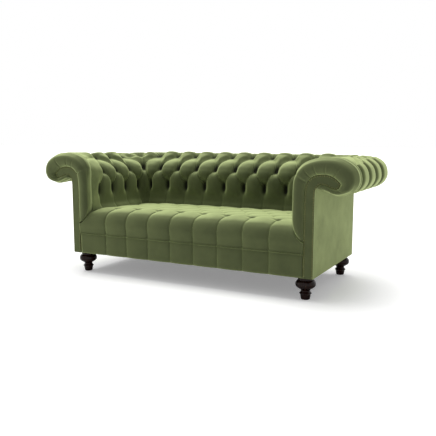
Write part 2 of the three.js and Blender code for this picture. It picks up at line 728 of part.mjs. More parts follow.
// Serpentine springs from the front rail to the back rail, and what lies on them
function seatInside() {
  const from = borderBack + gap + railThickness / 3;
  const to = backRailFront + railThickness * (2 / 3);
  const outermost = pivotX - ribThickness - springMargin - springSwing;
  for (let i = 0; i < springCount; i += 1) {
    const x = mix(-outermost, outermost, i / (springCount - 1));
    const points = [new THREE.Vector3(x - springSwing, from, wireMiddle)];
    for (let bend = 1; bend <= springBends; bend += 1) {
      const y = mix(from, to, bend / (springBends + 1));
      const swing = bend % 2 === 0 ? -springSwing : springSwing;
      points.push(new THREE.Vector3(x + swing, y, wireMiddle));
    }
    points.push(new THREE.Vector3(x - springSwing, to, wireMiddle));
    const path = new THREE.CatmullRomCurve3(points);
    const wire = new THREE.Shape();
    const half = springWire / 2;
    wire.moveTo(-half, -half);
    wire.lineTo(half, -half);
    wire.lineTo(half, half);
    wire.lineTo(-half, half);
    const solid = new THREE.ExtrudeGeometry(wire, { steps: 40, extrudePath: path, bevelEnabled: false });
    add(`seat_spring_${i + 1}`, "steel", solid);
  }
  const clothX = insideX - 4 * softGap;
  const clothY = [frontFace + noseLip + gap, insideY];
  box("seat_hessian", "hessian", [-clothX, clothX], clothY, [deckBottom, deckTop - gap]);
  box("seat_foam", "foam", [-clothX, clothX], clothY, [deckTop, seatBaseHeight - gap]);
}

// Outer panels: their tops tuck up behind the roll, and drop under it round the corner
function panelOutline(front, straightEnd, end) {
  const tuck = headBottom - gap;
  const under = crest[crest.length - 1][1] - softGap;
  const cornerDrop = mix(crest[crest.length - 1][1], crest[crest.length - 2][1], 0.7) - softGap;
  return [
    [front, underside],
    [end, underside],
    [end, cornerDrop],
    [straightEnd, under],
    [straightEnd, tuck],
    [front, tuck],
  ];
}

function outerPanels() {
  sides.forEach(({ name, sign }) => {
    const outline = panelOutline(boardFront, pivotY - ribThickness, backFace);
    const loop = (x) => outline.map(([y, z]) => [sign * x, y, z]);
    add(`${name}_outer_arm_panel`, "velvet", loft([loop(sideFace - panelThickness), loop(sideFace)]));
  });
  const end = sideFace - panelThickness - gap;
  const half = panelOutline(0, pivotX - ribThickness, end).slice(1, 5);
  const outline = [...half, ...half.map(([x, z]) => [-x, z]).reverse()];
  const loop = (y) => outline.map(([x, z]) => [x, y, z]);
  add("outer_back_panel", "velvet", loft([loop(backFace - panelThickness), loop(backFace)]));
}

seatFrame();
sides.forEach(armFrame);
backFrame();
seatInside();
seatCover();
frontBorder();
sides.forEach(armUpholstery);
backUpholstery();
sides.forEach(frontPad);
sides.forEach(facing);
outerPanels();
undercarriage();

// The origin is set to the middle of the finished sofa's own length and depth.
sofa.updateMatrixWorld(true);
const extent = new THREE.Box3().setFromObject(sofa);
sofa.position.y = -(extent.min.y + extent.max.y) / 2;

export default sofa;
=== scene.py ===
# %% [markdown]
# # A chesterfield sofa in olive velvet
# This script dresses the sofa's CAD model for a picture. The CAD holds the frame, the springs
# and plain forms of the upholstery. Here the forms get what a craftsman gives them: deep
# buttoned velvet, gathered arm fronts, rows of domed nails and turned legs.
# Lengths are in metres, +Z is up, and the sofa faces -Y.

import math

import bpy
import numpy as np
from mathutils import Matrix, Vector


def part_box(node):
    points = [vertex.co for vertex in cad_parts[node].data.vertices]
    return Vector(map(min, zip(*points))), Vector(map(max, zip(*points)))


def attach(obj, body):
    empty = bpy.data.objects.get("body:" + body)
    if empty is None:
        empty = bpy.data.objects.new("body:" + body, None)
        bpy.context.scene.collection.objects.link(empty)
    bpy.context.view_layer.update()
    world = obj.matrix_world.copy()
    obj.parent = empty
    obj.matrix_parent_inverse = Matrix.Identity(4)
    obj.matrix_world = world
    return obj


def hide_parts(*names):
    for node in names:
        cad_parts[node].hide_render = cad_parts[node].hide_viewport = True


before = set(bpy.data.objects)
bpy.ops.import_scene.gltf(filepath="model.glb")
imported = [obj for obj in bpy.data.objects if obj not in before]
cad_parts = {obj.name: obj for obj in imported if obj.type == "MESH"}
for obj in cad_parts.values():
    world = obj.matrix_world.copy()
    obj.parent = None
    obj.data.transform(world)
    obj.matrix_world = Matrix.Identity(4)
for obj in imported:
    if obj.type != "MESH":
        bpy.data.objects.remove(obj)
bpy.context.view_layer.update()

# %% [markdown]
# ## Places taken from the CAD
# Every padded piece has to sit on the same frame as the CAD forms, so the main planes are read
# from the boxes of the CAD nodes. What a box can't tell, such as the thickness of an arm, is a
# named value below with the same size as in the CAD.

# %% Main planes and sizes
mm = 0.001
front_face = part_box("left_facing_strip")[0].y
side_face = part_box("right_outer_arm_panel")[1].x
back_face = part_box("outer_back_panel")[1].y
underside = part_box("front_border")[0].z
seam_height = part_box("front_border")[1].z
roll_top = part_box("left_arm_upholstery")[1].z
seat_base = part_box("back_upholstery")[0].z

wall = 136 * mm  # an arm or the back, from the crest of its padding to its outer panel
roll_reach = 230 * mm  # how far the roll hangs out past the outer panel
strip_reach = 244 * mm  # the same for the lines that the facing strip is drawn with
roll_depth = 204 * mm  # top of the roll to its underside
pad_depth = 60 * mm  # front pad's back edge behind the facing strip's front
corner_radius = 6 * mm  # inside corner between an arm and the back
piece_gap = 0.3 * mm
soft_gap = 0.6 * mm

roll_span = wall + roll_reach
inside_x = side_face - wall
inside_y = back_face - wall
pivot_x = inside_x - corner_radius
pivot_y = inside_y - corner_radius
pad_back = front_face + pad_depth
print("front", front_face, "side", side_face, "back", back_face, "roll top", roll_top)

# %% [markdown]
# ## Drawing tools
# All upholstery here is a surface that one formula describes: a row of profiles is swept along a path,
# and the profile changes as it goes. The helpers below turn such rows of points into a closed mesh.
# `curve` draws a smooth line through a few points, `piece` makes the object, turns its faces outwards and
# hides the CAD node that it stands for, and `swept` closes rows of rings first.

# %% Smooth lines
def mix(a, b, share):
    """The point a share of the way from a to b."""
    return a + (b - a) * share


def smooth(start, end, value):
    """0 before start, 1 after end, and 3t^2 - 2t^3 between, where t is the share of the way."""
    t = np.clip((value - start) / (end - start), 0, 1)
    return t * t * (3 - 2 * t)


def curve(points, per_span=10):
    """A smooth line through the points, which may be a row of whole arrays. Each span is a cubic
    whose slope at a point is half the step between that point's two neighbours."""
    p = np.asarray(points, float)
    p = np.concatenate([2 * p[:1] - p[1:2], p, 2 * p[-1:] - p[-2:-1]])
    t = np.linspace(0, 1, per_span, endpoint=False).reshape(-1, *[1] * (p.ndim - 1))
    spans = []
    for a, b, c, d in zip(p, p[1:], p[2:], p[3:]):
        bend = (2 * a - 5 * b + 4 * c - d) * t**2 + (3 * b - a - 3 * c + d) * t**3
        spans.append(b + ((c - a) * t + bend) / 2)
    return np.concatenate([*spans, p[-2:-1]])


def unit(vectors):
    """The same directions at length 1."""
    return vectors / np.linalg.norm(vectors, axis=-1, keepdims=True)


def points_of(x, y, z):
    """Points from three arrays of coordinates, stretched to one shape."""
    return np.stack(np.broadcast_arrays(x, y, z), -1)


def lengths(line):
    """Distance from the first point of a line to each of its points."""
    return np.concatenate([[0], np.cumsum(np.linalg.norm(np.diff(line, axis=0), axis=1))])


def at_length(line, distance):
    """Points of a line at given distances from its first point."""
    along = lengths(line)
    return np.stack([np.interp(distance, along, line[:, i]) for i in range(line.shape[1])], -1)


# %% [markdown]
# ### Faces
# The faces over a grid of points follow from its size alone. The sign of the volume tells
# whether they look out or in.

# %% Closed meshes
def grid_quads(rows, columns):
    """Four-cornered faces over a grid of points whose rows are rings."""
    i, j = np.meshgrid(np.arange(rows - 1), np.arange(columns), indexing="ij")
    k = (j + 1) % columns
    corners = [i * columns + j, i * columns + k, (i + 1) * columns + k, (i + 1) * columns + j]
    return np.stack(corners, -1).reshape(-1, 4)


def end_caps(rows, columns):
    """One flat face over the first ring of a grid, and one over the last."""
    first = np.arange(columns)[::-1]
    last = (rows - 1) * columns + np.arange(columns)
    return np.stack([first, last])


def six_times_volume(points, patch):
    """Sum over a fan of triangles in each face of the product of its three corners."""
    a = points[patch[:, 0]]
    total = 0
    for i in range(1, patch.shape[1] - 1):
        b, c = points[patch[:, i]], points[patch[:, i + 1]]
        total += np.einsum("ij,ij->", a, np.cross(b, c))
    return total


pieces_made = set()


def new_object(name, data):
    """An object in the scene that holds the data."""
    made = bpy.data.objects.new(name, data)
    bpy.context.scene.collection.objects.link(made)
    return made


def piece(name, points, patches, finish, nodes=(), flat=(), places=None):
    """A closed mesh from points and patches of faces. Patches listed in flat keep hard edges, and places
    is an extra coordinate for each point that the material can read."""
    points = np.asarray(points, float).reshape(-1, 3)
    if sum(six_times_volume(points, patch) for patch in patches) < 0:
        patches = [patch[:, ::-1] for patch in patches]
    corners = np.concatenate([patch.ravel() for patch in patches]).astype(np.int32)
    sizes = np.concatenate([np.full(len(patch), patch.shape[1]) for patch in patches])
    starts = np.concatenate([[0], np.cumsum(sizes)[:-1]]).astype(np.int32)
    soft = np.concatenate([np.full(len(patch), i not in flat) for i, patch in enumerate(patches)])
    mesh = bpy.data.meshes.new(name)
    mesh.vertices.add(len(points))
    mesh.vertices.foreach_set("co", points.astype(np.float32).ravel())
    mesh.loops.add(len(corners))
    mesh.loops.foreach_set("vertex_index", corners)
    mesh.polygons.add(len(sizes))
    mesh.polygons.foreach_set("loop_start", starts)
    mesh.polygons.foreach_set("use_smooth", soft)
    mesh.update(calc_edges=True)
    if places is not None:
        layer = mesh.attributes.new("place", "FLOAT_VECTOR", "POINT")
        layer.data.foreach_set("vector", np.asarray(places, np.float32).ravel())
    mesh.validate()
    made = new_object(name, mesh)
    mesh.materials.append(finish)
    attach(made, "root")
    if nodes:
        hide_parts(*nodes)
    pieces_made.add(name)
    print(name, len(points), "points", len(sizes), "faces")


def swept(name, points, finish, nodes):
    """A piece whose rows of points are rings, with a flat cap over both ends."""
    rings = points.shape[:2]
    patches = [grid_quads(*rings), end_caps(*rings)]
    piece(name, points, patches, finish, nodes, flat=(1,))


# %% [markdown]
# ## Materials
# Velvet is a pile of short upright threads. It looks dark where the eye looks down into the pile and pale
# where the surface turns away; here that sheen is painted into the colour by a ramp on the facing angle,
# and the buttoned walls also get painted shade in their pockets. Strokes of a hand leave cloudy patches.
# Each material is a small graph of procedural nodes on the object's own coordinates.

# %% A graph of nodes
def to_linear(red, green, blue):
    """The shader's linear colour of a screen colour from 0 to 255."""
    shares = [value / 255 for value in (red, green, blue)]
    return [s / 12.92 if s <= 0.04045 else ((s + 0.055) / 1.055) ** 2.4 for s in shares] + [1]


class Graph:
    """The nodes of a new material or world, added by type and joined by socket names."""

    def __init__(self, owner, shader="Principled BSDF"):
        self.owner = owner
        owner.use_nodes = True
        self.tree = owner.node_tree
        self.shader = self.tree.nodes[shader]
        self.coordinates = self.add("ShaderNodeTexCoord").outputs

    def add(self, kind, inputs=(), **settings):
        node = self.tree.nodes.new(kind)
        for name, value in settings.items():
            setattr(node, name, value)
        for socket, value in dict(inputs).items():
            self.set(node.inputs[socket], value)
        return node

    def combine(self, operation, a, b):
        return self.add("ShaderNodeMath", {0: a, 1: b}, operation=operation).outputs[0]

    def set(self, socket, value):
        if isinstance(value, bpy.types.NodeSocket):
            self.tree.links.new(value, socket)
        else:
            socket.default_value = value

    def noise(self, scale, detail=3.0, roughness=0.5, stretch=None):
        """Cloudy noise from 0 to 1. stretch gives each axis its own scale."""
        where = self.coordinates["Object"]
        if stretch:
            where = self.add("ShaderNodeMapping", {"Vector": where, "Scale": stretch}).outputs[0]
        values = {"Vector": where, "Scale": scale, "Detail": detail, "Roughness": roughness}
        return self.add("ShaderNodeTexNoise", values).outputs["Fac"]

    def ramp(self, factor, stops):
        """A colour from a number, through stops of (number, colour)."""
        node = self.add("ShaderNodeValToRGB", {"Fac": factor})
        elements = node.color_ramp.elements
        while len(elements) < len(stops):
            elements.new(0.5)
        for element, (position, colour) in zip(elements, stops):
            element.position = position
            element.color = colour
        return node.outputs["Color"]

    def between(self, value, start, end):
        """The value carried from the range start to the range end, and held there."""
        names = ("Value", "From Min", "From Max", "To Min", "To Max")
        values = zip(names, (value, *start, *end))
        return self.add("ShaderNodeMapRange", values).outputs["Result"]

    def bump(self, height, distance, strength=1.0, normal=None):
        values = {"Height": height, "Distance": distance, "Strength": strength}
        if normal:
            values["Normal"] = normal
        return self.add("ShaderNodeBump", values).outputs["Normal"]

    def finish(self, **values):
        for name, value in values.items():
            self.set(self.shader.inputs[name.replace("_", " ")], value)
        return self.owner


# %% [markdown]
# ### Finishes
# Outside there are velvet, leg wood and nail metal. The CAD pieces inside get timber, steel,
# hessian, foam and a thin black cloth.

# %% Finishes
def velvet_material(name, dark, middle, pale, tufted=False):
    """Velvet with painted sheen: the colour runs by the facing angle from dark where the eye looks
    straight at the surface to pale towards the edges of a form, with cloudy strokes, a sheen lobe and a
    fine nap. Tufted velvet also gets painted shade, darker where its padding is low and most in its
    pockets round a button: the piece's place attribute holds that shade value."""
    graph = Graph(bpy.data.materials.new(name))
    # Painted sheen: the facing angle picks the colour from the ramp, pale at grazing angles.
    facing = graph.add("ShaderNodeLayerWeight", {"Blend": 0.5}).outputs["Facing"]
    clouds = graph.noise(8.0, detail=4.0, roughness=0.6)
    stroke = graph.between(clouds, (0.3, 0.7), (-0.07, 0.07))
    colour = graph.ramp(graph.combine("ADD", facing, stroke), [(0.0, dark), (0.45, middle), (0.88, pale)])
    # Painted shade: darker where the padding is low, most in the pockets round the buttons.
    if tufted:
        place = graph.add("ShaderNodeAttribute", attribute_name="place").outputs["Vector"]
        height = graph.add("ShaderNodeSeparateXYZ", {"Vector": place}).outputs["Z"]
        pocket_shade = graph.between(height, (-0.7, 0.42), (0.1, 1.0))
        scaled = {0: colour, "Scale": pocket_shade}
        colour = graph.add("ShaderNodeVectorMath", scaled, operation="SCALE").outputs[0]
    nap = graph.bump(graph.noise(1400.0, detail=2.0), 0.5 * mm, 0.35)
    ground = graph.noise(260.0, detail=2.0, stretch=(1.0, 1.0, 0.35))
    normal = graph.bump(ground, 0.8 * mm, 0.25, nap)
    return graph.finish(
        Base_Color=colour, Roughness=0.85, Normal=normal, Sheen_Weight=0.3,
        Sheen_Roughness=0.3, Sheen_Tint=to_linear(200, 212, 160), Specular_IOR_Level=0.15,
    )


# Ramp shades for head-on, middle and grazing views; the grazing one is painted sheen.
olive = [to_linear(76, 83, 54), to_linear(104, 113, 74), to_linear(174, 187, 128)]
tufted_olive = [to_linear(80, 88, 56), to_linear(112, 122, 80), to_linear(182, 195, 134)]
velvet = velvet_material("olive_velvet", *olive)
velvet_with_pocket_shade = velvet_material("tufted_olive_velvet", *tufted_olive, tufted=True)


def patterned_material(name, pattern, stops, relief, **values):
    """A finish whose pattern, a function of the graph, sets its shades and its relief, which is
    a distance and a strength."""
    graph = Graph(bpy.data.materials.new(name))
    height = pattern(graph)
    colour = graph.ramp(height, [(at, to_linear(*shade)) for at, shade in stops])
    return graph.finish(Base_Color=colour, Normal=graph.bump(height, *relief), **values)


def grain(graph, stretch):
    """Fine streaks of timber, long where an axis has a small scale."""
    return graph.noise(14.0, detail=6.0, roughness=0.65, stretch=stretch)


def tarnish(graph):
    """Small clouds on metal."""
    return graph.noise(320.0, detail=4.0)


def weave(graph, threads):
    """Two sets of threads that cross."""
    values = {"Vector": graph.coordinates["Object"], "Scale": threads, "Distortion": 0.4}
    bands = [graph.add("ShaderNodeTexWave", values, bands_direction=way) for way in ("X", "Y")]
    return graph.combine("MULTIPLY", *(band.outputs["Fac"] for band in bands))


def open_cells(graph):
    """Pits of cut foam."""
    values = {"Vector": graph.coordinates["Object"], "Scale": 420.0}
    return graph.add("ShaderNodeTexVoronoi", values).outputs["Distance"]


wood_relief, metal_relief, cloth_relief = (0.6 * mm, 0.2), (0.3 * mm, 0.2), (0.8 * mm, 0.5)
leg_wood = patterned_material(
    "polished_mahogany", lambda graph: grain(graph, (6.0, 6.0, 0.6)),
    [(0.3, (18, 7, 4)), (0.7, (36, 14, 8))], wood_relief,
    Roughness=0.12, Coat_Weight=0.1, Coat_Roughness=0.08, Specular_IOR_Level=0.12,
)
frame_wood = patterned_material(
    "frame_hardwood", lambda graph: grain(graph, (1.0, 6.0, 6.0)),
    [(0.3, (168, 132, 84)), (0.7, (206, 176, 128))], wood_relief,
    Roughness=0.7, Specular_IOR_Level=0.12,
)
nail_metal = patterned_material(
    "antique_nails", tarnish, [(0.35, (84, 86, 54)), (0.65, (136, 138, 92))], metal_relief,
    Roughness=0.5, Metallic=1.0,
)
steel = patterned_material(
    "spring_steel", tarnish, [(0.35, (92, 96, 100)), (0.65, (150, 154, 158))], metal_relief,
    Roughness=0.38, Metallic=1.0,
)
hessian = patterned_material(
    "hessian", lambda graph: weave(graph, 120.0),
    [(0.1, (120, 98, 62)), (0.8, (184, 158, 112))], cloth_relief, Roughness=0.95,
)
dust_cloth = patterned_material(
    "dust_cloth", lambda graph: weave(graph, 260.0),
    [(0.1, (14, 14, 15)), (0.8, (40, 40, 42))], cloth_relief, Roughness=0.95,
)
foam = patterned_material(
    "seat_foam", open_cells, [(0.0, (206, 196, 148)), (0.6, (236, 228, 186))], (1 * mm, 0.5),
    Roughness=0.95,
)

# %% [markdown]
# ## The buttoned walls
# The back and both arms are one idea: a thick padded wall that rises from the seat and turns
# out into a roll. Twine pulls buttons through the padding to the frame behind, on a lattice of
# diamonds, and the spare cloth between two buttons is tucked into a pleat.
#
# The surface needs two profiles, drawn in (distance out from the crest, height). The crest is
# where the padding is fullest and the floor is where the buttons lie. A row coordinate r runs up
# both: 0 to 3 are the button rows, -1 is the foot behind the seat, and 6 is the outer panel.

# %% Crest and floor of the padding
crest_shares = [  # (out, down): shares of the roll's span and of its depth below the top
    (0.003, 1.18), (0.003, 0.89), (0.018, 0.6), (0.07, 0.37), (0.27, 0.085), (0.54, 0),
    (0.71, 0.025), (0.85, 0.13), (0.955, 0.29), (0.998, 0.5), (0.99, 0.7),
    (0.92, 0.88), (0.79, 0.985), (0.6, 0.945),
]
roll_root_share = 0.2
roll_bottom = roll_top - roll_depth
roll_root = (wall + piece_gap, roll_bottom + roll_root_share * roll_depth)
crest_points = [
    (0, seat_base),
    (0, mix(seat_base, roll_top - crest_shares[0][1] * roll_depth, 0.5)),
    *[(out * roll_span, roll_top - down * roll_depth) for out, down in crest_shares],
    roll_root,
]
button_rows = np.array([(74, 529), (95, 649), (209, 730), (314, 722)]) * mm
rows_below, rows_above = -1.0, 6.0
last_row = len(button_rows) - 1
crest_line = curve(crest_points, 24)
crest_lengths = lengths(crest_line)
outermost = np.argmax(crest_line[:, 0])


def nearest_length(point):
    """Distance along the crest, before its outermost point, of the place nearest to a point."""
    away = np.linalg.norm(crest_line[:outermost] - point, axis=1)
    return crest_lengths[np.argmin(away)]


row_marks = [rows_below, *range(last_row + 1), rows_above]
row_lengths = [0, *[nearest_length(point) for point in button_rows], crest_lengths[-1]]


def crest_at(r):
    """Point of the crest at row coordinate r: the rows' marks are joined by even steps."""
    return at_length(crest_line, np.interp(r, row_marks, row_lengths))


roll_middle = np.array([235, 669]) * mm
skirt_floor = (74 * mm, seat_base)
floor_line = curve([skirt_floor, *button_rows], 24)
rib_rows = [last_row, last_row + 0.5, rows_above]
rib_depths = [41 * mm, 32 * mm, 4 * mm]


def floor_at(r):
    """Point of the floor at row coordinate r. Behind the rows it is the crest, sunk towards the
    middle of the roll by the depth of the gathers there."""
    r = np.asarray(r, float)
    spans = len(button_rows)
    inner = np.clip(r - rows_below, 0, spans) / spans * (len(floor_line) - 1)
    index = np.arange(len(floor_line))
    line = np.stack([np.interp(inner, index, floor_line[:, i]) for i in range(2)], -1)
    crest = crest_at(r)
    gathered = crest + unit(roll_middle - crest) * np.interp(r, rib_rows, rib_depths)[..., None]
    outer = smooth(last_row, last_row + 0.5, r)[..., None]
    return mix(line, gathered, outer)


# %% [markdown]
# ### Height of the padding
# Let p count the buttons along a row, whole at the buttons of the lowest row. The diagonals of
# the lattice are u = p - r/2 and v = p + r/2. A pleat lies where either is whole and a button
# where both are. With a = 4 u' (1 - u'), where u' is what is left of u past a whole number, and
# b alike for v, the height is the square root of a b, which rises steeply from every pleat and
# is round on top. A pleat itself is highest halfway between two buttons.

# %% Fullness of the padding
pleat_ridge = 0.45  # height of a pleat halfway between two buttons
pocket_reach = 0.2  # how far the funnel round a button reaches, in pitches
pit_reach, pit_depth = 0.09, 0.1  # the hole at its bottom
top_ridge = 0.92  # the same past the upper row, where the cloth lies flatter
droop = 0.5  # how far the pleats bow: 0 is a straight diagonal
crest_levels = [  # (row coordinate, fullness of a puff's middle there)
    (-1.2, 0.75), (-0.85, 0.75), (-0.66, 0.62), (-0.52, 0.47), (-0.3, 0.45), (0, 0.64),
    (0.6, 0.68), (1.0, 0.56), (1.35, 0.36), (1.65, 0.16), (1.84, 0.16), (2.0, 0.52),
    (2.2, 0.88), (2.6, 0.98), (3, 1.0), (6.2, 1.0),
]
top_levels = [  # the same for the puffs of the top row and those behind it
    (0.8, 0.5), (1.0, 0.48), (1.35, 0.42), (1.65, 0.41), (1.84, 0.47), (2.0, 0.6), (2.2, 0.86),
    (2.6, 0.98), (3, 1.0), (6.2, 1.0),
]
level_blend = 0.3  # how far into a top puff, in cells of the lattice, its own level is reached
pocket_shade_reach = 0.16  # how far round a button the painted shade reaches, in pitches
strip_cells = 4.2  # a second line beside each pleat, in cells of the grid
strip_line = 0.12
skirt_reach = 0.25  # rows below the lowest buttons over which their funnels fade
skirt_lines, skirt_line_cells = 0.09, 1.6  # the lines beside the upright pleats there
skirt_valley = 0.1
flat_rows = (1.9, 2.6)  # rows over which top_ridge takes over
bare_rows = (2.5, 3.0)  # rows over which an arm's plain front gets its gathers
extra_reach = 0.7  # size of an extra button's funnel, against the others
fold_depth, fold_width = 0.3, 0.045  # a loose fold, of the padding's height and in pitches
cells_per_pitch = 64


def arch(q):
    """4 q' (1 - q'), where q' is what is left of q past a whole number: 0 at whole numbers, 1
    halfway between."""
    part = q - np.floor(q)
    return 4 * part * (1 - part)


def row_of_height(h):
    """Row coordinate of lattice height h. Between two rows h = r - droop r (1 - r), so a pleat
    leaves the lower button steeply and bends over to the upper one, as padding that hangs does."""
    whole = np.clip(np.floor(h), 0, last_row - 1)
    part = np.clip(h - whole, 0, 1)
    rise = (np.sqrt((1 - droop) ** 2 + 4 * droop * part) - (1 - droop)) / (2 * droop)
    return np.where((h > 0) & (h < last_row), whole + rise, h)


def off_whole(q):
    """Distance from q to the nearest whole number."""
    return np.abs(q - np.round(q))


def line_at(distance, cells, width=0.8):
    """1 on a line that lies so many grid cells away, 0 a cell from it on both sides."""
    return np.clip(1 - np.abs(distance * cells_per_pitch - cells) / width, 0, 1)


crest_curve = curve(crest_levels, 12)
top_curve = curve(top_levels, 12)


def crest_level(p, h, plain=-np.inf):
    """Fullness of a puff's middle at lattice height h: the wall is hollow where it turns over
    into the roll, and draws back behind the seat. A puff whose middle is at row 2 or above has
    its own level, reached a little way in from its lower edges."""
    r = row_of_height(h)
    low, top = (np.interp(r, line[:, 0], line[:, 1]) for line in (crest_curve, top_curve))
    rows = np.clip(h, 0, last_row)
    u, v = p - rows / 2, p + rows / 2
    inside = np.minimum(1 - (u - np.floor(u)), v - np.floor(v))
    share = smooth(0, level_blend, inside) * smooth(0, level_blend, u - plain)
    return np.where(np.floor(v) - np.floor(u) > 1.5, mix(low, top, share), low)


# %% [markdown]
# Loose folds are straight lines between two places of the lattice. They are drawn where the
# cloth has more width than the frame: in the corners and at the ends of the arms.

# %% Folds and the whole formula
def on_fold(p, h, start, end):
    """1 on a straight fold between two places (p, h) of the lattice, 0 a few widths from it. A
    step of 2 in h counts as long as a step of 1 in p."""
    way = np.array([end[0] - start[0], (end[1] - start[1]) / 2])
    across, up = p - start[0], (h - start[1]) / 2
    share = np.clip((across * way[0] + up * way[1]) / (way @ way), 0, 1)
    off = (across - share * way[0]) ** 2 + (up - share * way[1]) ** 2
    return np.exp(-off / fold_width**2)


def corner_folds(mitre, inward):
    """Folds at a corner: a V that opens upwards from the upper button, and one down to the next."""
    v_top = (mitre + 0.25 * inward, 2.7)
    return [((mitre, 2.0), v_top), ((mitre, 1.0), (mitre, 2.0))]


def fullness(p, h, plain=-np.inf, extras=(), loose=()):
    """Fullness at place p and lattice height h: 0 at a button, 1 in the middle of a puff. The
    corner's extra buttons and loose folds are added. Where u is less than plain, the cloth has
    no buttons."""
    rows = np.clip(h, 0, last_row)
    u, v = p - rows / 2, p + rows / 2
    a, b = arch(u), arch(v)
    near = (u - np.round(u)) ** 2 + (v - np.round(v)) ** 2
    second = np.maximum(line_at(off_whole(u), strip_cells), line_at(off_whole(v), strip_cells))
    bare = smooth(0, 0.15, plain - u) * smooth(0, 0.1, plain + 2 - v) * (1 - smooth(*bare_rows, h))
    beyond = u < plain - 0.5
    a, b = np.where(beyond, 1, a), mix(b, 1, bare)
    near = np.where(beyond, mix(near, 1, bare), near)
    second = second * (1 - bare)
    ridge = mix(pleat_ridge, top_ridge, smooth(*flat_rows, h)) * (a + b - a * b)
    reach = pocket_reach * mix(1, 0.9, smooth(2, 2.2, h))
    funnel = 1 - np.exp(-near / reach**2)
    full = (ridge + (1 - ridge) * np.sqrt(a * b)) * funnel
    full = full - strip_line * second * smooth(0, 0.15, h)
    for place, height in extras:
        away = (p - place) ** 2 + ((h - height) / 2) ** 2
        full = full * (1 - np.exp(-away / (extra_reach * pocket_reach) ** 2))
        near = np.minimum(near, away)
    for start, end in loose:
        full = full * (1 - fold_depth * on_fold(p, h, start, end))
    below = np.clip(-h, 0, 1)
    pocket = 1 - (1 - full) * np.exp(-((below / skirt_reach) ** 2))
    upright = skirt_lines * line_at(off_whole(p), skirt_line_cells)
    upright = upright + skirt_valley * (1 - np.sqrt(arch(p)))
    upright = np.where(p < plain - 0.1, 0, upright)
    puffed = np.where(h < 0, pocket - upright * smooth(0, 0.2, below), full)
    return puffed - pit_depth * np.exp(-near / pit_reach**2) * np.exp(-((below / 0.1) ** 2))


# %% [markdown]
# ### From the profile to the sofa
# Along the back the profile runs straight; at each end it turns through half a right angle
# about an upright line near the inside corner, and meets the arm's profile, which turns the
# same way. So the puffs fan out round the corner, as they do on the real one.

# %% Walls along their paths
back_pitch = 154.3 * mm
arm_pitch = 150 * mm
last_arm_button = 8 * mm  # ahead of the corner's pivot
half_right = math.pi / 4
corner_place = 5.0  # button pitches from the middle of the back to the corner seam
frame_back = [  # the padding's inner side, along the frame
    (wall + piece_gap, 631.7 * mm), (320.3 * mm, 631.7 * mm), (320.3 * mm, 706.3 * mm),
    (149.7 * mm, 706.3 * mm), (84.1 * mm, 615 * mm), (84.1 * mm, seat_base),
]
skirt_samples, roll_samples = 24, 44


def row_samples():
    """Lattice heights of the grid: even steps of two cells a row among the buttons, and wider
    ones below and behind them."""
    skirt = np.linspace(rows_below, 0, skirt_samples, endpoint=False)
    buttons = np.linspace(0, last_row, last_row * cells_per_pitch // 2, endpoint=False)
    roll = np.linspace(last_row, rows_above, roll_samples)
    return np.concatenate([skirt, buttons, roll])


def back_path(p, d):
    """Place on the floor plan of a point at d out from the crest of the back."""
    x = (p - 0.5) * back_pitch
    straight_end = pivot_x / back_pitch
    share = np.clip((np.abs(p - 0.5) - straight_end) / (corner_place - straight_end), 0, 1)
    angle = share * half_right
    out = d + corner_radius
    side = np.sign(x)
    turned_x = side * (pivot_x + out * np.sin(angle))
    return np.where(share > 0, turned_x, x), pivot_y + out * np.cos(angle)


def arm_path(p, d, sign):
    """Place on the floor plan of a point at d out from the crest of an arm. p is 0 at the last
    button and negative towards the front."""
    y = pivot_y - last_arm_button + p * arm_pitch
    straight_end = last_arm_button / arm_pitch
    share = np.clip((p - straight_end) / (0.5 - straight_end), 0, 1)
    angle = share * half_right
    out = d + corner_radius
    return sign * (pivot_x + out * np.cos(angle)), np.where(share > 0, pivot_y + out * np.sin(angle), y)


def wall_surface(name, places, path, full, level, nodes):
    """Closed padded wall. Row i of the grid is the profile at place i: the point at r is the
    floor plus fullness times level times the way from the floor to the crest, set out along
    the path."""
    h = row_samples()
    p, rr = np.meshgrid(places, h, indexing="ij")
    r = row_of_height(h)
    low, high = floor_at(r)[None], crest_at(r)[None]
    height = full(p, rr)[..., None]
    profile = low + (high - low) * height * level(p, rr)[..., None]
    behind = np.broadcast_to(np.array(frame_back), (len(places), len(frame_back), 2))
    profile = np.concatenate([profile, behind], 1)
    count = profile.shape[1]
    whole_p = np.repeat(np.asarray(places)[:, None], count, 1)
    x, y = path(whole_p, profile[..., 0])
    points = points_of(x, y, profile[..., 1])
    whole_r = np.concatenate([rr, np.full((len(places), len(frame_back)), -3.0)], 1)
    # The third coordinate of place is the painted shade value that the velvet reads.
    marks = np.stack([whole_p, whole_r, pocket_shade_marks(p, rr, height[..., 0], len(frame_back))], -1)
    quads = grid_quads(len(places), count)
    middle_p = whole_p.ravel()[quads].mean(1)
    middle_r = np.clip(whole_r.ravel()[quads].mean(1), 0, last_row)
    u, v = middle_p - middle_r / 2, middle_p + middle_r / 2
    u_nearer = np.abs(u - np.round(u)) < np.abs(v - np.round(v))
    one, two = quads[u_nearer], quads[~u_nearer]
    triangles = [one[:, [0, 1, 2]], one[:, [0, 2, 3]], two[:, [0, 1, 3]], two[:, [1, 2, 3]]]
    patches = [np.concatenate(triangles), end_caps(len(places), count)]
    piece(name, points, patches, velvet_with_pocket_shade, nodes, (1,), marks)


def pocket_shade_marks(p, h, height, extra):
    """Painted shade for the velvet: the fullness of each grid point, less near a button, and 1 on the
    side against the frame. The lower it is, the darker the material paints the cloth."""
    rows = np.clip(h, 0, last_row)
    near = off_whole(p - rows / 2) ** 2 + off_whole(p + rows / 2) ** 2
    below = np.exp(-((np.clip(-h, 0, 1) / skirt_reach) ** 2))
    # upright here is the painted shade value, lowest round each button.
    upright = height - (1 - height) * np.exp(-near / pocket_shade_reach**2) * below
    return np.concatenate([upright, np.ones((len(height), extra))], 1)


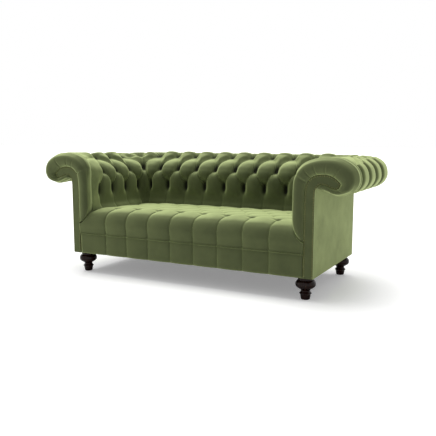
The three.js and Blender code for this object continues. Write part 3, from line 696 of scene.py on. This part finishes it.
# %% [markdown]
# ### The back
# The back runs from one corner seam to the other. A button lies on each seam.

# %% The back
corners = [(0.5 - corner_place, 2.0), (0.5 + corner_place, 2.0)]
back_cells = int(2 * corner_place * cells_per_pitch)
back_places = np.linspace(corners[0][0], corners[1][0], back_cells + 1)


def back_fullness(p, h):
    """The padding's height, with a corner at both ends."""
    loose = corner_folds(corners[0][0], 1) + corner_folds(corners[1][0], -1)
    return fullness(p, h, extras=corners, loose=loose)


wall_surface(
    "back_buttoned_cover", back_places, back_path, back_fullness, crest_level,
    ["back_upholstery"],
)

# %% [markdown]
# ### The arms
# An arm's inside is buttoned like the back, but its front stays plain as far as the first
# buttons, because the front pad takes the cloth there.

# %% Both arms
plain_end = -3.0  # the first pleat runs along the diagonal u with this number
upper_start = (plain_end + 1, 2.0)  # the upper row's first button
arm_corner = (0.5, 2.0)
arm_hollow = 0.42  # how much lower the arm's inside lies than the back's
hollow_top, hollow_foot = (0.6, 1.8), (-0.75, -0.5)  # rows over which that ends
hollow_end = (-0.4, 0.4)  # and places, at the corner
front_level = 0.73  # height of the arm's inside where it meets the front pad
level_rise = (0.8, 1.8)  # rows over which that grows to the full height
rim_dip, rim_width = 0.09, 0.08  # a soft valley on the roll behind the pad
fan_button = (0.25, 2.0)  # one more button where the roll fans out round the corner
front_place = (pad_back - (pivot_y - last_arm_button)) / arm_pitch
arm_folds = [
    ((front_place + 0.1, 1.25), upper_start),  # where the front pad's cloth ends
    (upper_start, (plain_end - 0.5, 3.0)),
    *corner_folds(arm_corner[0], -1),
]


def at_front(p, h):
    """1 where the arm meets the front pad, 0 from three quarters of a pitch behind it, and from
    a quarter on the roll."""
    return 1 - smooth(0, mix(0.75, 0.25, smooth(2, 2.6, h)), p - front_place)


def arm_fullness(p, h):
    """The back's fullness, but plain ahead of the first diagonal pleat."""
    full = fullness(p, h, plain_end, [fan_button, arm_corner], arm_folds)
    return mix(full, 1.0, at_front(p, h))


def arm_level(p, h):
    """The back's crest level, but lower along the inside between the pad and the corner. Ahead
    of the first pleat it rises evenly to the level of the pad."""
    inside = arm_hollow * smooth(*hollow_foot, h) * (1 - smooth(*hollow_top, h))
    inside = inside * (1 - smooth(*hollow_end, p))
    pleat = plain_end + np.clip(h, 0, 2) / 2
    share = np.clip((p - front_place) / (pleat - front_place), 0, 1)
    risen = smooth(*level_rise, h)
    at_pad = mix(front_level, 1.0, risen)
    level = mix(crest_level(p, h, plain_end) * (1 - inside), at_pad, 1 - share**1.1)
    return level * (1 - rim_dip * np.exp(-(((p - front_place) / rim_width) ** 2)) * risen)


first_cell = math.ceil(front_place * cells_per_pitch + 0.5)
arm_places = np.arange(first_cell, cells_per_pitch // 2 + 1) / cells_per_pitch
arm_places = np.concatenate([[front_place], arm_places])
sides = [("left", -1), ("right", 1)]
for side_name, sign in sides:
    wall_surface(
        f"{side_name}_arm_buttoned_cover", arm_places, lambda p, d: arm_path(p, d, sign),
        arm_fullness, arm_level, [f"{side_name}_arm_upholstery"],
    )

# %% [markdown]
# ### Buttons
# Each button is a small dome covered in the same velvet, at the bottom of its tuft and facing
# the way the tuft opens.

# %% Covered buttons
button_radius = 8 * mm
button_height = 4 * mm
button_sink = 11 * mm
button_rings, button_sides = 4, 12
no_dome_faces = (0.3, 0.2, 1.0)  # any direction in which no dome looks


def dome_field(name, spots, radius, height, rings, segments, finish, nodes=()):
    """Many domes in one piece, each with a flat back; spots are their centres and normals. Ring
    i of a dome lies at an angle t up it: radius cos t out and height sin t up."""
    centres, normals = (part[:, None, None] for part in spots)
    side = unit(np.cross(normals, no_dome_faces))
    t = np.linspace(0, math.pi / 2, rings, endpoint=False)[:, None, None]
    turn = np.linspace(0, 2 * math.pi, segments, endpoint=False)[:, None]
    ring = np.cos(turn) * side + np.sin(turn) * np.cross(normals, side)
    layers = centres + radius * np.cos(t) * ring + height * np.sin(t) * normals
    ends = np.concatenate([centres + height * normals, centres], 1)[:, :, 0]
    points = np.concatenate([layers.reshape(len(layers), -1, 3), ends], 1)
    k = np.arange(segments)
    n = (k + 1) % segments
    last = (rings - 1) * segments
    top = np.full(segments, rings * segments)
    cap, base = np.stack([last + k, last + n, top], -1), np.stack([n, k, top + 1], -1)
    shift = np.arange(len(points))[:, None, None] * points.shape[1]
    faces = [grid_quads(rings, segments), np.concatenate([cap, base])]
    patches = [(shift + each).reshape(-1, each.shape[1]) for each in faces]
    piece(name, points, patches, finish, nodes)


def button_spots(path, places):
    """Centre and direction of the button at each (p, r)."""
    p, r = np.array(places).T
    low, high = (points_of(*path(p, line[:, 0]), line[:, 1]) for line in (floor_at(r), crest_at(r)))
    normals = unit(high - low)
    return low - normals * button_sink, normals


def lattice(first, last, extras, plain=-np.inf):
    """Places (p, r) of all buttons from one place to another, and the extra ones. Ahead of the
    first pleat, plain, only the upper row has buttons."""
    found = []
    for r in range(last_row + 1):
        shift = (r % 2) / 2
        low = math.ceil(first - shift - 0.001)
        high = math.floor(last - shift + 0.001)
        found += [(k + shift, float(r)) for k in range(low, high + 1)]
    return [(p, r) for p, r in found if r == last_row or p - r / 2 > plain - 0.01] + extras


back_rows = lattice(0.5 - corner_place, 0.5 + corner_place, corners)
dome_field(
    "back_buttons", button_spots(back_path, back_rows), button_radius, button_height,
    button_rings, button_sides, velvet,
)
for side_name, sign in sides:
    arm_rows = lattice(plain_end - 0.5, 0.1, [fan_button], plain_end)
    spots = button_spots(lambda p, d: arm_path(p, d, sign), arm_rows)
    dome_field(
        f"{side_name}_arm_buttons", spots, button_radius, button_height, button_rings,
        button_sides, velvet,
    )

# %% [markdown]
# ## Seat
# The seat is one long cushion over the springs: a crowned top with shallow tufts, and a
# bull-nose at the front. Pleats run from the first buttons over the nose to the seam and on down
# the border, each a folded strip with a line of shadow along both sides.

# %% Seat sizes and pleats
seat_pitch = 161.4 * mm
seat_row_pitch = 122 * mm
seat_first_row = 135 * mm
seat_tuft_depth = 15 * mm
tuft_ridge = 0.62  # height of the cloth halfway between two tufts
tuft_start = (-25 * mm, 5 * mm)  # past the first row, where the tufts begin
seat_crown = 16 * mm
seat_rear_drop = 18 * mm
seat_edge = 60 * mm
edge_drop, edge_round = 5 * mm, 22 * mm  # the top falls this much, this near to an arm
edge_start = (-90 * mm, -50 * mm)  # past the first row, where it begins to
rear_round, rear_fade = 8 * mm, 50 * mm  # the same at the back, where the tufts end
nose_radius = 74 * mm
nose_overhang = 9 * mm
nose_lip = 34 * mm
fold_half = 3.6 * mm  # half the width of a folded strip
fold_line = 1.1 * mm  # width of the shadow line beside it
fold_line_depth = 2.2 * mm
channel_depth = 12 * mm
pleat_fade = 30 * mm  # past the first row, where the pleats end
pleat_foot = (10 * mm, 0.6)  # above the seam, where the pleats are shallower, by this share
facing_inset = 80 * mm
pad_tip = underside + 195 * mm
pad_tip_height = 130 * mm
nose_shares = [(0.06, 0.2), (0, 0.45), (0.12, 0.68), (0.42, 0.86), (0.95, 0.97)]
seat_top = seat_base + seat_edge - nose_radius / 25
seat_side = inside_x - 2 * soft_gap
tip_shift = 8 * mm  # the pads draw in by more than this, so the seat's ends go on beside them
tip_reach = 24 * mm
tip_rings = 26
seat_tuck = 18 * mm  # the seat reaches this far under the walls that draw back
tuck_share, tuck_run = 0.9, 15 * mm  # from this share of its half width, and past the pads
tuck_trim, tuck_trim_run = 0.7, 60 * mm  # but less far at the rear corners
seat_rear = inside_y - soft_gap - corner_radius / 2 + seat_tuck
pleat_count = 8


def pleat_distance(x):
    """Distance to the nearest pleat; pleats lie half a pitch each side of the middle."""
    column = x / seat_pitch - 0.5
    nearest = np.clip(np.round(column), -pleat_count / 2, pleat_count / 2 - 1)
    return np.abs(column - nearest) * seat_pitch


def folds(x):
    """Depth of the surface near a pleat: a broad dip between two channels, and a thin line
    along both sides of the folded strip."""
    away = pleat_distance(x)
    share = np.clip(away / (seat_pitch / 2), 0, 1)
    channel = channel_depth * (1 - np.sqrt(1 - (1 - share) ** 2))
    lines = np.exp(-(((away - fold_half) / fold_line) ** 2))
    return channel + fold_line_depth * lines


def pleated_columns(edge, step):
    """Places across: even steps, and close ones beside each pleat."""
    even = np.arange(-edge, edge, step)
    pleats = (np.arange(-pleat_count / 2, pleat_count / 2) + 0.5) * seat_pitch
    near = (pleats[:, None] + np.linspace(-2.2, 2.2, 23)[None] * fold_half).ravel()
    columns = np.unique(np.round(np.concatenate([even, near, [-edge, edge]]), 5))
    columns = columns[np.abs(columns) <= edge]
    return columns[np.concatenate([[True], np.diff(columns) > 0.2 * mm])]


def pad_edge_height(d):
    """Lower edge of the front pad at d out from the crest: a quarter of an oval."""
    share = (facing_inset - d) / facing_inset
    return pad_tip + pad_tip_height * (1 - np.sqrt(np.clip(1 - share**2, 0, 1)))


# %% [markdown]
# ### The cushion as one surface
# A smooth cushion comes first, as one profile for each place across. Pleats, tufts and the drop
# towards the arms then move its points inwards, square to the profile.

# %% Seat surface
def seat_profiles(x):
    """Profile of the seat at each place across, from the seam over the nose to the back. The
    crown falls off with the sixth power of the distance from the middle."""
    top = seat_top + seat_crown * (1 - np.abs(x / inside_x) ** 6)
    low = seam_height + piece_gap
    front, first_row = front_face - nose_overhang, front_face + seat_first_row
    places = [(front_face, low)]
    places += [(front + back * nose_radius, mix(low, top, up)) for back, up in nose_shares]
    for share in np.linspace(0.02, 0.93, 7):
        level = top + nose_radius / 12 - seat_rear_drop * smooth(0, 1, share)
        places.append((mix(first_row, inside_y, share), level))
    places.append((seat_rear, top - seat_rear_drop - rear_round))
    return curve(np.stack([np.stack([y + 0 * x, z + 0 * x], -1) for y, z in places]), 16)


def held(value, limit):
    """The value, but past the limit it goes on at a hundredth of the rate."""
    return np.minimum(value, limit) + np.clip(value - limit, 0, None) / 100


def seat_surface():
    """Closed seat cover: the smooth profiles, sunk at pleats and tufts, then back under. At each
    end a thin tip goes on below the front pad, held to the pad's lower edge and the seat's lip."""
    x = pleated_columns(seat_side, 5 * mm)
    line = seat_profiles(x)  # (along, across, (y, z))
    y, z = line[..., 0], line[..., 1]
    step = unit(np.gradient(line, axis=0))
    behind = y - (front_face + seat_first_row)
    foot = mix(pleat_foot[1], 1, smooth(0, pleat_foot[0], z - seam_height))
    depth = folds(x) * (1 - smooth(0, pleat_fade, behind)) * foot
    rows = np.clip(behind / seat_row_pitch, 0, None)
    column = x / seat_pitch + 0.5
    a, b = arch(column - rows / 2), arch(column + rows / 2)
    ridge = tuft_ridge * (a + b - a * b)
    tufts = 1 - (ridge + (1 - ridge) * np.sqrt(a * b))
    tufted = smooth(*tuft_start, behind) * (1 - smooth(inside_y - rear_fade, inside_y, y))
    at_arm = (1 - smooth(0, edge_round, seat_side - np.abs(x))) ** 2
    depth = depth + seat_tuft_depth * tufts * tufted
    depth = depth + edge_drop * at_arm * smooth(*edge_start, behind)
    line = line + np.stack([step[..., 1], -step[..., 0]], -1) * depth[..., None]
    lip = front_face + nose_lip
    under = np.array([(seat_rear, seat_base), (lip, seat_base), (lip, seam_height + piece_gap)])
    line = np.concatenate([line, np.repeat(under[:, None], len(x), 1)])
    y, z = line[..., 0], line[..., 1]
    tucked = seat_tuck * smooth(tuck_share, 1, np.abs(x) / seat_side)
    tucked = tucked * smooth(lip, pad_back + tuck_run, y)
    tucked = tucked * (1 - tuck_trim * smooth(seat_rear - tuck_trim_run, seat_rear, y))
    loops = points_of(x + np.sign(x) * tucked, y, z).transpose(1, 0, 2)
    d = np.linspace(0, facing_inset - soft_gap, tip_rings)[:, None]
    reach = lip + tip_reach * (1 - smooth(tip_shift / 2, tip_shift, d))
    low = pad_edge_height(np.clip(d - tip_shift, 0, None)) - 2 * soft_gap
    tips = []
    for sign, (_, y, z) in ((-1, loops[0].T), (1, loops[-1].T)):
        limit = np.minimum(z.max(), low)
        tips.append(points_of(sign * (inside_x - soft_gap + d), held(y, reach), held(z, limit)))
    points = np.concatenate([tips[0][::-1], loops, tips[1]])
    swept("seat_buttoned_cover", points, velvet, ["seat_cover"])


seat_surface()

# %% [markdown]
# ## Front border and piping
# Under the nose the cloth runs down over the front rail, with the seat's pleats carried on.
# A thin cord covered in velvet hides the seam.

# %% Border and piping
facing_thickness = 13 * mm
border_edge = inside_x + facing_inset - piece_gap
border_rounding = 3 * mm
border_folds, piping_folds = 0.75, 0.8  # how deep both follow the seat's pleats
piping_radius = 3.4 * mm
stitch_pitch = 14 * mm


def front_border():
    """Closed panel: a flat front that sinks by the folds' depth, and a flat back."""
    x = pleated_columns(border_edge, 8 * mm)
    z = np.linspace(underside, seam_height - piece_gap, 12)
    up = np.clip((z - underside) / (seam_height - underside), 0.001, 0.999)
    y = front_face + border_folds * folds(x)[:, None] + border_rounding * (1 - np.sqrt(arch(up)))
    front = points_of(x[:, None], y, z)
    back = points_of(x[:, None], front_face + facing_thickness, z[[-1, 0]])
    points = np.concatenate([front, back], 1)
    swept("front_border_cover", points, velvet, ["front_border"])


def front_piping():
    """A cord along the seam, drawn in at each stitch to a quarter of its radius."""
    x = np.arange(-border_edge, border_edge, stitch_pitch / 8)[:, None]
    turn = np.linspace(0, 2 * math.pi, 12, endpoint=False)
    radius = piping_radius * (0.25 + 0.75 * arch(x / stitch_pitch) ** 0.3)
    y = front_face - piping_radius + piping_folds * folds(x) + radius * np.cos(turn)
    points = points_of(x, y, seam_height - piping_radius + radius * np.sin(turn))
    swept("front_seam_piping", points, velvet, ["front_piping"])


front_border()
front_piping()

# %% [markdown]
# ## Arm fronts
# The front of each arm ends in a scroll. A padded strip with nails along both edges runs up
# the outside and curls into the roll. Round it, the cloth of the arm is gathered towards the
# strip in folds that spread like rays.

# %% Scroll outlines
scroll_shares = [  # (out, down) of the strip's edge and of the roll's outline beside it
    ((0.0006, 1.12), (0.003, 1.18)), ((0.0095, 0.86), (0.003, 0.89)),
    ((0.0272, 0.73), (0.018, 0.6)), ((0.0627, 0.635), (0.07, 0.37)),
    ((0.1133, 0.55), (0.16, 0.19)), ((0.1893, 0.485), (0.27, 0.085)),
    ((0.2767, 0.46), (0.41, 0.02)), ((0.3667, 0.455), (0.54, 0)),
    ((0.449, 0.475), (0.71, 0.025)), ((0.5263, 0.525), (0.85, 0.13)),
    ((0.5997, 0.608), (0.955, 0.29)), ((0.6327, 0.66), (0.998, 0.5)),
    ((0.6403, 0.71), (0.99, 0.7)), ((0.6099, 0.785), (0.92, 0.88)),
    ((0.5503, 0.82), (0.79, 0.985)), ((0.4604, 0.775), (0.69, 1)),
    ((0.3857, 0.73), (0.6, 0.945)), ((0.2995, 0.71), (0.48, 0.87)),
    ((0.24, 0.755), (0.4, 0.83)),
]
throat_shares = (0.008, 0.87)
strip_points = [
    (mix(facing_inset, wall + strip_reach, out), roll_top - down * roll_depth)
    for (out, down), _ in scroll_shares
]
outline_points = [(out * roll_span, roll_top - down * roll_depth) for _, (out, down) in scroll_shares]
throat = (mix(wall, roll_span, throat_shares[0]), roll_top - throat_shares[1] * roll_depth)
strip_curve = curve(strip_points, 8)
strip_outline = np.concatenate([
    np.linspace((facing_inset, underside), strip_curve[0], 20, endpoint=False),
    strip_curve,
    [throat, (wall, roll_bottom), (wall, underside)],
])


def inset(line, distance):
    """An open line drawn in by a distance: each point moves square to the step between its
    neighbours."""
    step = unit(np.gradient(line, axis=0))
    return line + distance * np.stack([step[:, 1], -step[:, 0]], -1)


def arm_points(sign, outline, y):
    """An outline in (out, height) set across an arm at depth y."""
    return points_of(sign * (inside_x + outline[..., 0]), y, outline[..., 1])


# %% [markdown]
# ### Facing strips
# The strip is a thin board under velvet. Its nails stand at even steps along both edges.

# %% Facing strips and nails
strip_rounding = 3 * mm
nail_inset = 5.2 * mm
nail_pitch = 13 * mm
nail_radius = 4.1 * mm
nail_height = 2.8 * mm
nail_rings, nail_sides = 3, 10


def facing_strip(side_name, sign):
    """A board covered in velvet: its outline swept back, with a rounded front edge."""
    back_y = front_face + facing_thickness
    loops = [arm_points(sign, strip_outline, back_y)]
    for t in np.linspace(0, math.pi / 2, 5):
        drawn = strip_rounding * (1 - math.cos(t))
        line = inset(strip_outline, drawn)
        line[0, 1] = line[-1, 1] = underside
        loops.append(arm_points(sign, line, front_face + strip_rounding * (1 - math.sin(t))))
    name, node = f"{side_name}_facing_band", f"{side_name}_facing_strip"
    swept(name, np.stack(loops), velvet, [node])


def facing_nails(side_name, sign):
    """Nails at even steps along a line drawn in from the strip's edge."""
    line = inset(strip_outline, nail_inset)
    total = lengths(line)[-1]
    places = np.arange(nail_pitch, total - nail_pitch / 2, nail_pitch)
    centres = arm_points(sign, at_length(line, places), front_face - 0.2 * mm)
    spots = centres, np.broadcast_to((0.0, -1.0, 0.0), centres.shape)
    dome_field(
        f"{side_name}_facing_nails", spots, nail_radius, nail_height, nail_rings, nail_sides,
        nail_metal, [f"{side_name}_nail_trim"],
    )


for side_name, sign in sides:
    facing_strip(side_name, sign)
    facing_nails(side_name, sign)

# %% [markdown]
# ### Front pads
# The pad fills the space between the strip and the edge of the arm. Its lower end tapers to a
# tip beside the strip.

# %% Gathered front pads
pad_taper = [(0.92, 0.12), (0.6, 0.32), (0.3, 0.55), (0.08, 0.8), (0, 1)]
pad_bulge = 28 * mm
pad_cross = [  # (share of the way out, forward in bulges, drawn in mm on the roll and inside)
    (0.0, -0.02, 0, 0), (0.05, 0.36, 0, 0), (0.18, 0.76, 0, 0), (0.42, 1.0, 0, 0),
    (0.68, 0.87, 3, 4), (0.87, 0.5, 8, 9), (1.0, -0.05, 13, 13), (1.0, -0.6, 7, 14),
    (1.0, -1.1, 2.2, 16), (1.0, -1.6, 3, 19),
]
gathers = {  # places along the strip's outline, counted in its points
    "right": [4.0, 5.4, 7.1, 8.9, 13.6, 15.2], "left": [2.6, 4.9, 6.1, 8.3, 12.6, 14.2],
}
gather_depth, gather_width = 4.5 * mm, 2.6 * mm
gather_start, gather_end = (0, 0.08), (0.15, 0.8)  # shares of the way out
fold_gather = 2.6  # the one that runs on over the arm as a fold
pad_rim_in = (4, 21.5)  # drawn in at its back edge, in mm on the roll and inside
most_drawn = 0.4  # but never by more of the pad's width
pad_samples = 12  # points of the mesh for each one of the outline
swell_start, swell_run = 0.55, 14  # the pad's lower end is flatter, over so many points
board_columns = 4  # points of each ring that lie behind the pad


def front_pad(side_name, sign):
    """Surface between the strip's edge and the roll's outline. Across, it swells forward through
    the control shares; along, it sinks at each gather, most beside the strip."""
    inner = [(facing_inset, mix(pad_tip, pad_tip + pad_tip_height, rise)) for _, rise in pad_taper]
    outer = [(d * facing_inset, float(pad_edge_height(d * facing_inset))) for d, _ in pad_taper]
    inner = curve(inner + strip_points, pad_samples)
    outer = curve(outer + outline_points, pad_samples)
    width = np.linalg.norm(outer - inner, axis=1)
    index = np.arange(len(inner)) / pad_samples - len(pad_taper)
    grown = mix(swell_start, 1, smooth(0, swell_run, index + len(pad_taper)))
    swell = pad_bulge * np.minimum(1, width / facing_inset) * grown
    clear = 2 * soft_gap / width
    cross = curve(pad_cross, 7)
    share = clear[:, None] + (1 - clear[:, None]) * cross[None, :, 0]
    roll_side = smooth(1, 3.5, index)
    rim_in = mix(pad_rim_in[1], pad_rim_in[0], roll_side) * mm
    drawn = mix(cross[None, :, 3], cross[None, :, 2], roll_side[:, None]) * mm
    drawn = np.minimum(drawn / width[:, None], most_drawn)
    share = share - drawn * smooth(0, 0.5, cross[:, 0])
    forward = swell[:, None] * cross[None, :, 1]
    along = lengths(inner)
    groove = np.zeros(len(inner))
    for place in gathers[side_name]:
        off = along - np.interp(place, index, along)
        groove = groove + np.exp(-((off / gather_width) ** 2))
    reach = smooth(*gather_start, cross[:, 0]) * (1 - smooth(*gather_end, cross[:, 0]))
    forward = forward - gather_depth * groove[:, None] * reach[None]
    run_on = np.exp(-(((along - np.interp(fold_gather, index, along)) / (2 * gather_width)) ** 2))
    forward = forward - gather_depth * run_on[:, None] * smooth(0.02, 0.1, cross[:, 0])[None]
    flat = inner[:, None] + (outer - inner)[:, None] * share[..., None]
    face = arm_points(sign, flat, front_face)
    face[..., 1] -= forward
    hollow = 1 - np.minimum(pad_bulge, width / 2) / width
    board = front_face + facing_thickness + piece_gap
    rim_share = 1 - np.minimum(rim_in / width, most_drawn)
    rim = pad_back - piece_gap
    closing = [
        arm_points(sign, mix(inner, outer, across[:, None]), y)
        for across, y in ((rim_share, rim), (hollow, rim), (hollow, board), (clear, board))
    ]
    points = np.concatenate([face, np.stack(closing, 1)], 1)
    rows, columns = points.shape[:2]
    quads = grid_quads(rows, columns)
    behind = quads[:, 0] % columns >= columns - board_columns
    patches = [quads[~behind], quads[behind], end_caps(rows, columns)]
    piece(
        f"{side_name}_arm_gathered_front", points, patches, velvet,
        [f"{side_name}_arm_front_pad"], flat=(1, 2),
    )


for side_name, sign in sides:
    front_pad(side_name, sign)

# %% [markdown]
# ## Turned legs
# Each leg is one turning in polished mahogany: a square-shouldered top, a ball, a thin neck, a
# ring and a small foot. A turning is a profile swept round an upright axis.

# %% Legs
leg_shares = [
    (1, 0, "foot"), (1.14, 0.02, "foot"), (1.28, 0.13, "foot"), (0.84, 0.215, "ring"),
    (1, 0.27, "ring"), (0.84, 0.325, "ring"), (1, 0.38, "neck"), (1.2, 0.44, "neck"),
    (0.78, 0.51, "ball"), (0.95, 0.58, "ball"), (1, 0.68, "ball"), (0.95, 0.77, "ball"),
    (0.8, 0.845, "ball"), (1, 0.865, "top"), (1, 1, "top"),
]
leg_radii = {"foot": 21.5 * mm, "ring": 34.5 * mm, "neck": 25 * mm, "ball": 56.5 * mm, "top": 42 * mm}
leg_sides = 56


def turned_leg(name, node):
    """A smooth profile through the shares, turned once round the CAD leg's own axis."""
    lo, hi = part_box(node)
    axis_x, axis_y = (lo.x + hi.x) / 2, (lo.y + hi.y) / 2
    height = hi.z - lo.z
    profile = curve([(share * leg_radii[part], up * height) for share, up, part in leg_shares], 8)
    profile[:, 0] = np.maximum(profile[:, 0], 1 * mm)
    turn = np.linspace(0, 2 * math.pi, leg_sides, endpoint=False)
    radius, z = profile[:, :1], profile[:, 1:]
    points = points_of(axis_x + radius * np.cos(turn), axis_y + radius * np.sin(turn), z)
    swept(name, points, leg_wood, [node])


for side_name, _ in sides:
    for end_name in ("front", "rear"):
        turned_leg(f"{side_name}_{end_name}_turned_leg", f"{side_name}_{end_name}_leg")

# %% [markdown]
# ## Finishes of the CAD pieces that stay
# The frame and everything inside keep their CAD shapes and get a material each.

# %% Paint the rest
inside_finishes = {
    "rib": frame_wood, "rail": frame_wood, "board": frame_wood, "stretcher": frame_wood,
    "block": frame_wood, "stud": steel, "spring": steel, "lining": hessian,
    "seat_hessian": hessian, "seat_foam": foam, "dust_cover": dust_cloth, "panel": velvet,
}
for node in [o for o in bpy.data.objects if o.type == "MESH" and o.name not in pieces_made]:
    for word, finish in inside_finishes.items():
        if word in node.name:
            node.data.materials.clear()
            node.data.materials.append(finish)

# %% [markdown]
# ## Studio
# A pale floor under a white world, and one wide soft lamp high over the back left. The camera
# stands to the right of the sofa and looks a little down on it.

# %% Floor, light and camera
floor_lift = 0.25  # glow that the camera alone sees, so that the shadow is a pale one


def studio_floor():
    """One large square at floor level, plain but for faint specks."""
    half = 40.0
    corners = [(-half, -half, 0), (half, -half, 0), (half, half, 0), (-half, half, 0)]
    mesh = bpy.data.meshes.new("studio_floor")
    mesh.from_pydata(corners, [], [(0, 1, 2, 3)])
    floor = new_object("studio_floor", mesh)
    graph = Graph(bpy.data.materials.new("studio_floor"))
    speck = graph.noise(2.0, detail=1.0)
    colour = graph.ramp(speck, [(0.3, (0.92, 0.92, 0.92, 1)), (0.7, (0.94, 0.94, 0.94, 1))])
    seen = graph.add("ShaderNodeLightPath").outputs["Is Camera Ray"]
    mesh.materials.append(graph.finish(
        Base_Color=colour, Roughness=0.9, Specular_IOR_Level=0.1, Emission_Color=(1, 1, 1, 1),
        Emission_Strength=graph.combine("MULTIPLY", seen, floor_lift),
    ))


def sun_lamp(name, way, spread, strength):
    """A far lamp that shines along a direction; spread is the angle that it fills."""
    lamp = bpy.data.lights.new(name, "SUN")
    lamp.angle = math.radians(spread)
    lamp.energy = strength
    turn = Vector(way).to_track_quat("-Z", "Y")
    new_object(name, lamp).rotation_euler = turn.to_euler()


def studio_world(level, overhead):
    """White to the camera and in mirrors. As fill light it is a weaker white that grows from one
    strength at floor level to another overhead."""
    graph = Graph(bpy.data.worlds.new("studio"), "Background")
    bpy.context.scene.world = graph.owner
    up = graph.add("ShaderNodeSeparateXYZ", {"Vector": graph.coordinates["Generated"]}).outputs["Z"]
    strength = graph.between(up, (0.0, 1.0), (level, overhead))
    path = graph.add("ShaderNodeLightPath").outputs
    for ray in ("Is Camera Ray", "Is Glossy Ray", "Is Transmission Ray"):
        strength = graph.combine("MAXIMUM", strength, path[ray])
    graph.finish(Color=(1, 1, 1, 1), Strength=strength)


studio_floor()
studio_world(level=0.29, overhead=0.62)
sun_lamp("top_lamp", way=(0.27, -0.25, -1.0), spread=60, strength=2.6)

camera_place = (1.8164, -3.4544, 0.8904)
camera_yaw, camera_pitch = math.radians(27.87), math.radians(7.90)
camera_data = bpy.data.cameras.new("photo_camera")
camera_data.sensor_width = 36.0
camera_data.lens = 48.66
camera = new_object("photo_camera", camera_data)
camera.location = camera_place
camera.rotation_euler = (math.pi / 2 - camera_pitch, 0, camera_yaw)
bpy.context.scene.camera = camera
bpy.context.scene.view_settings.view_transform = "Standard"
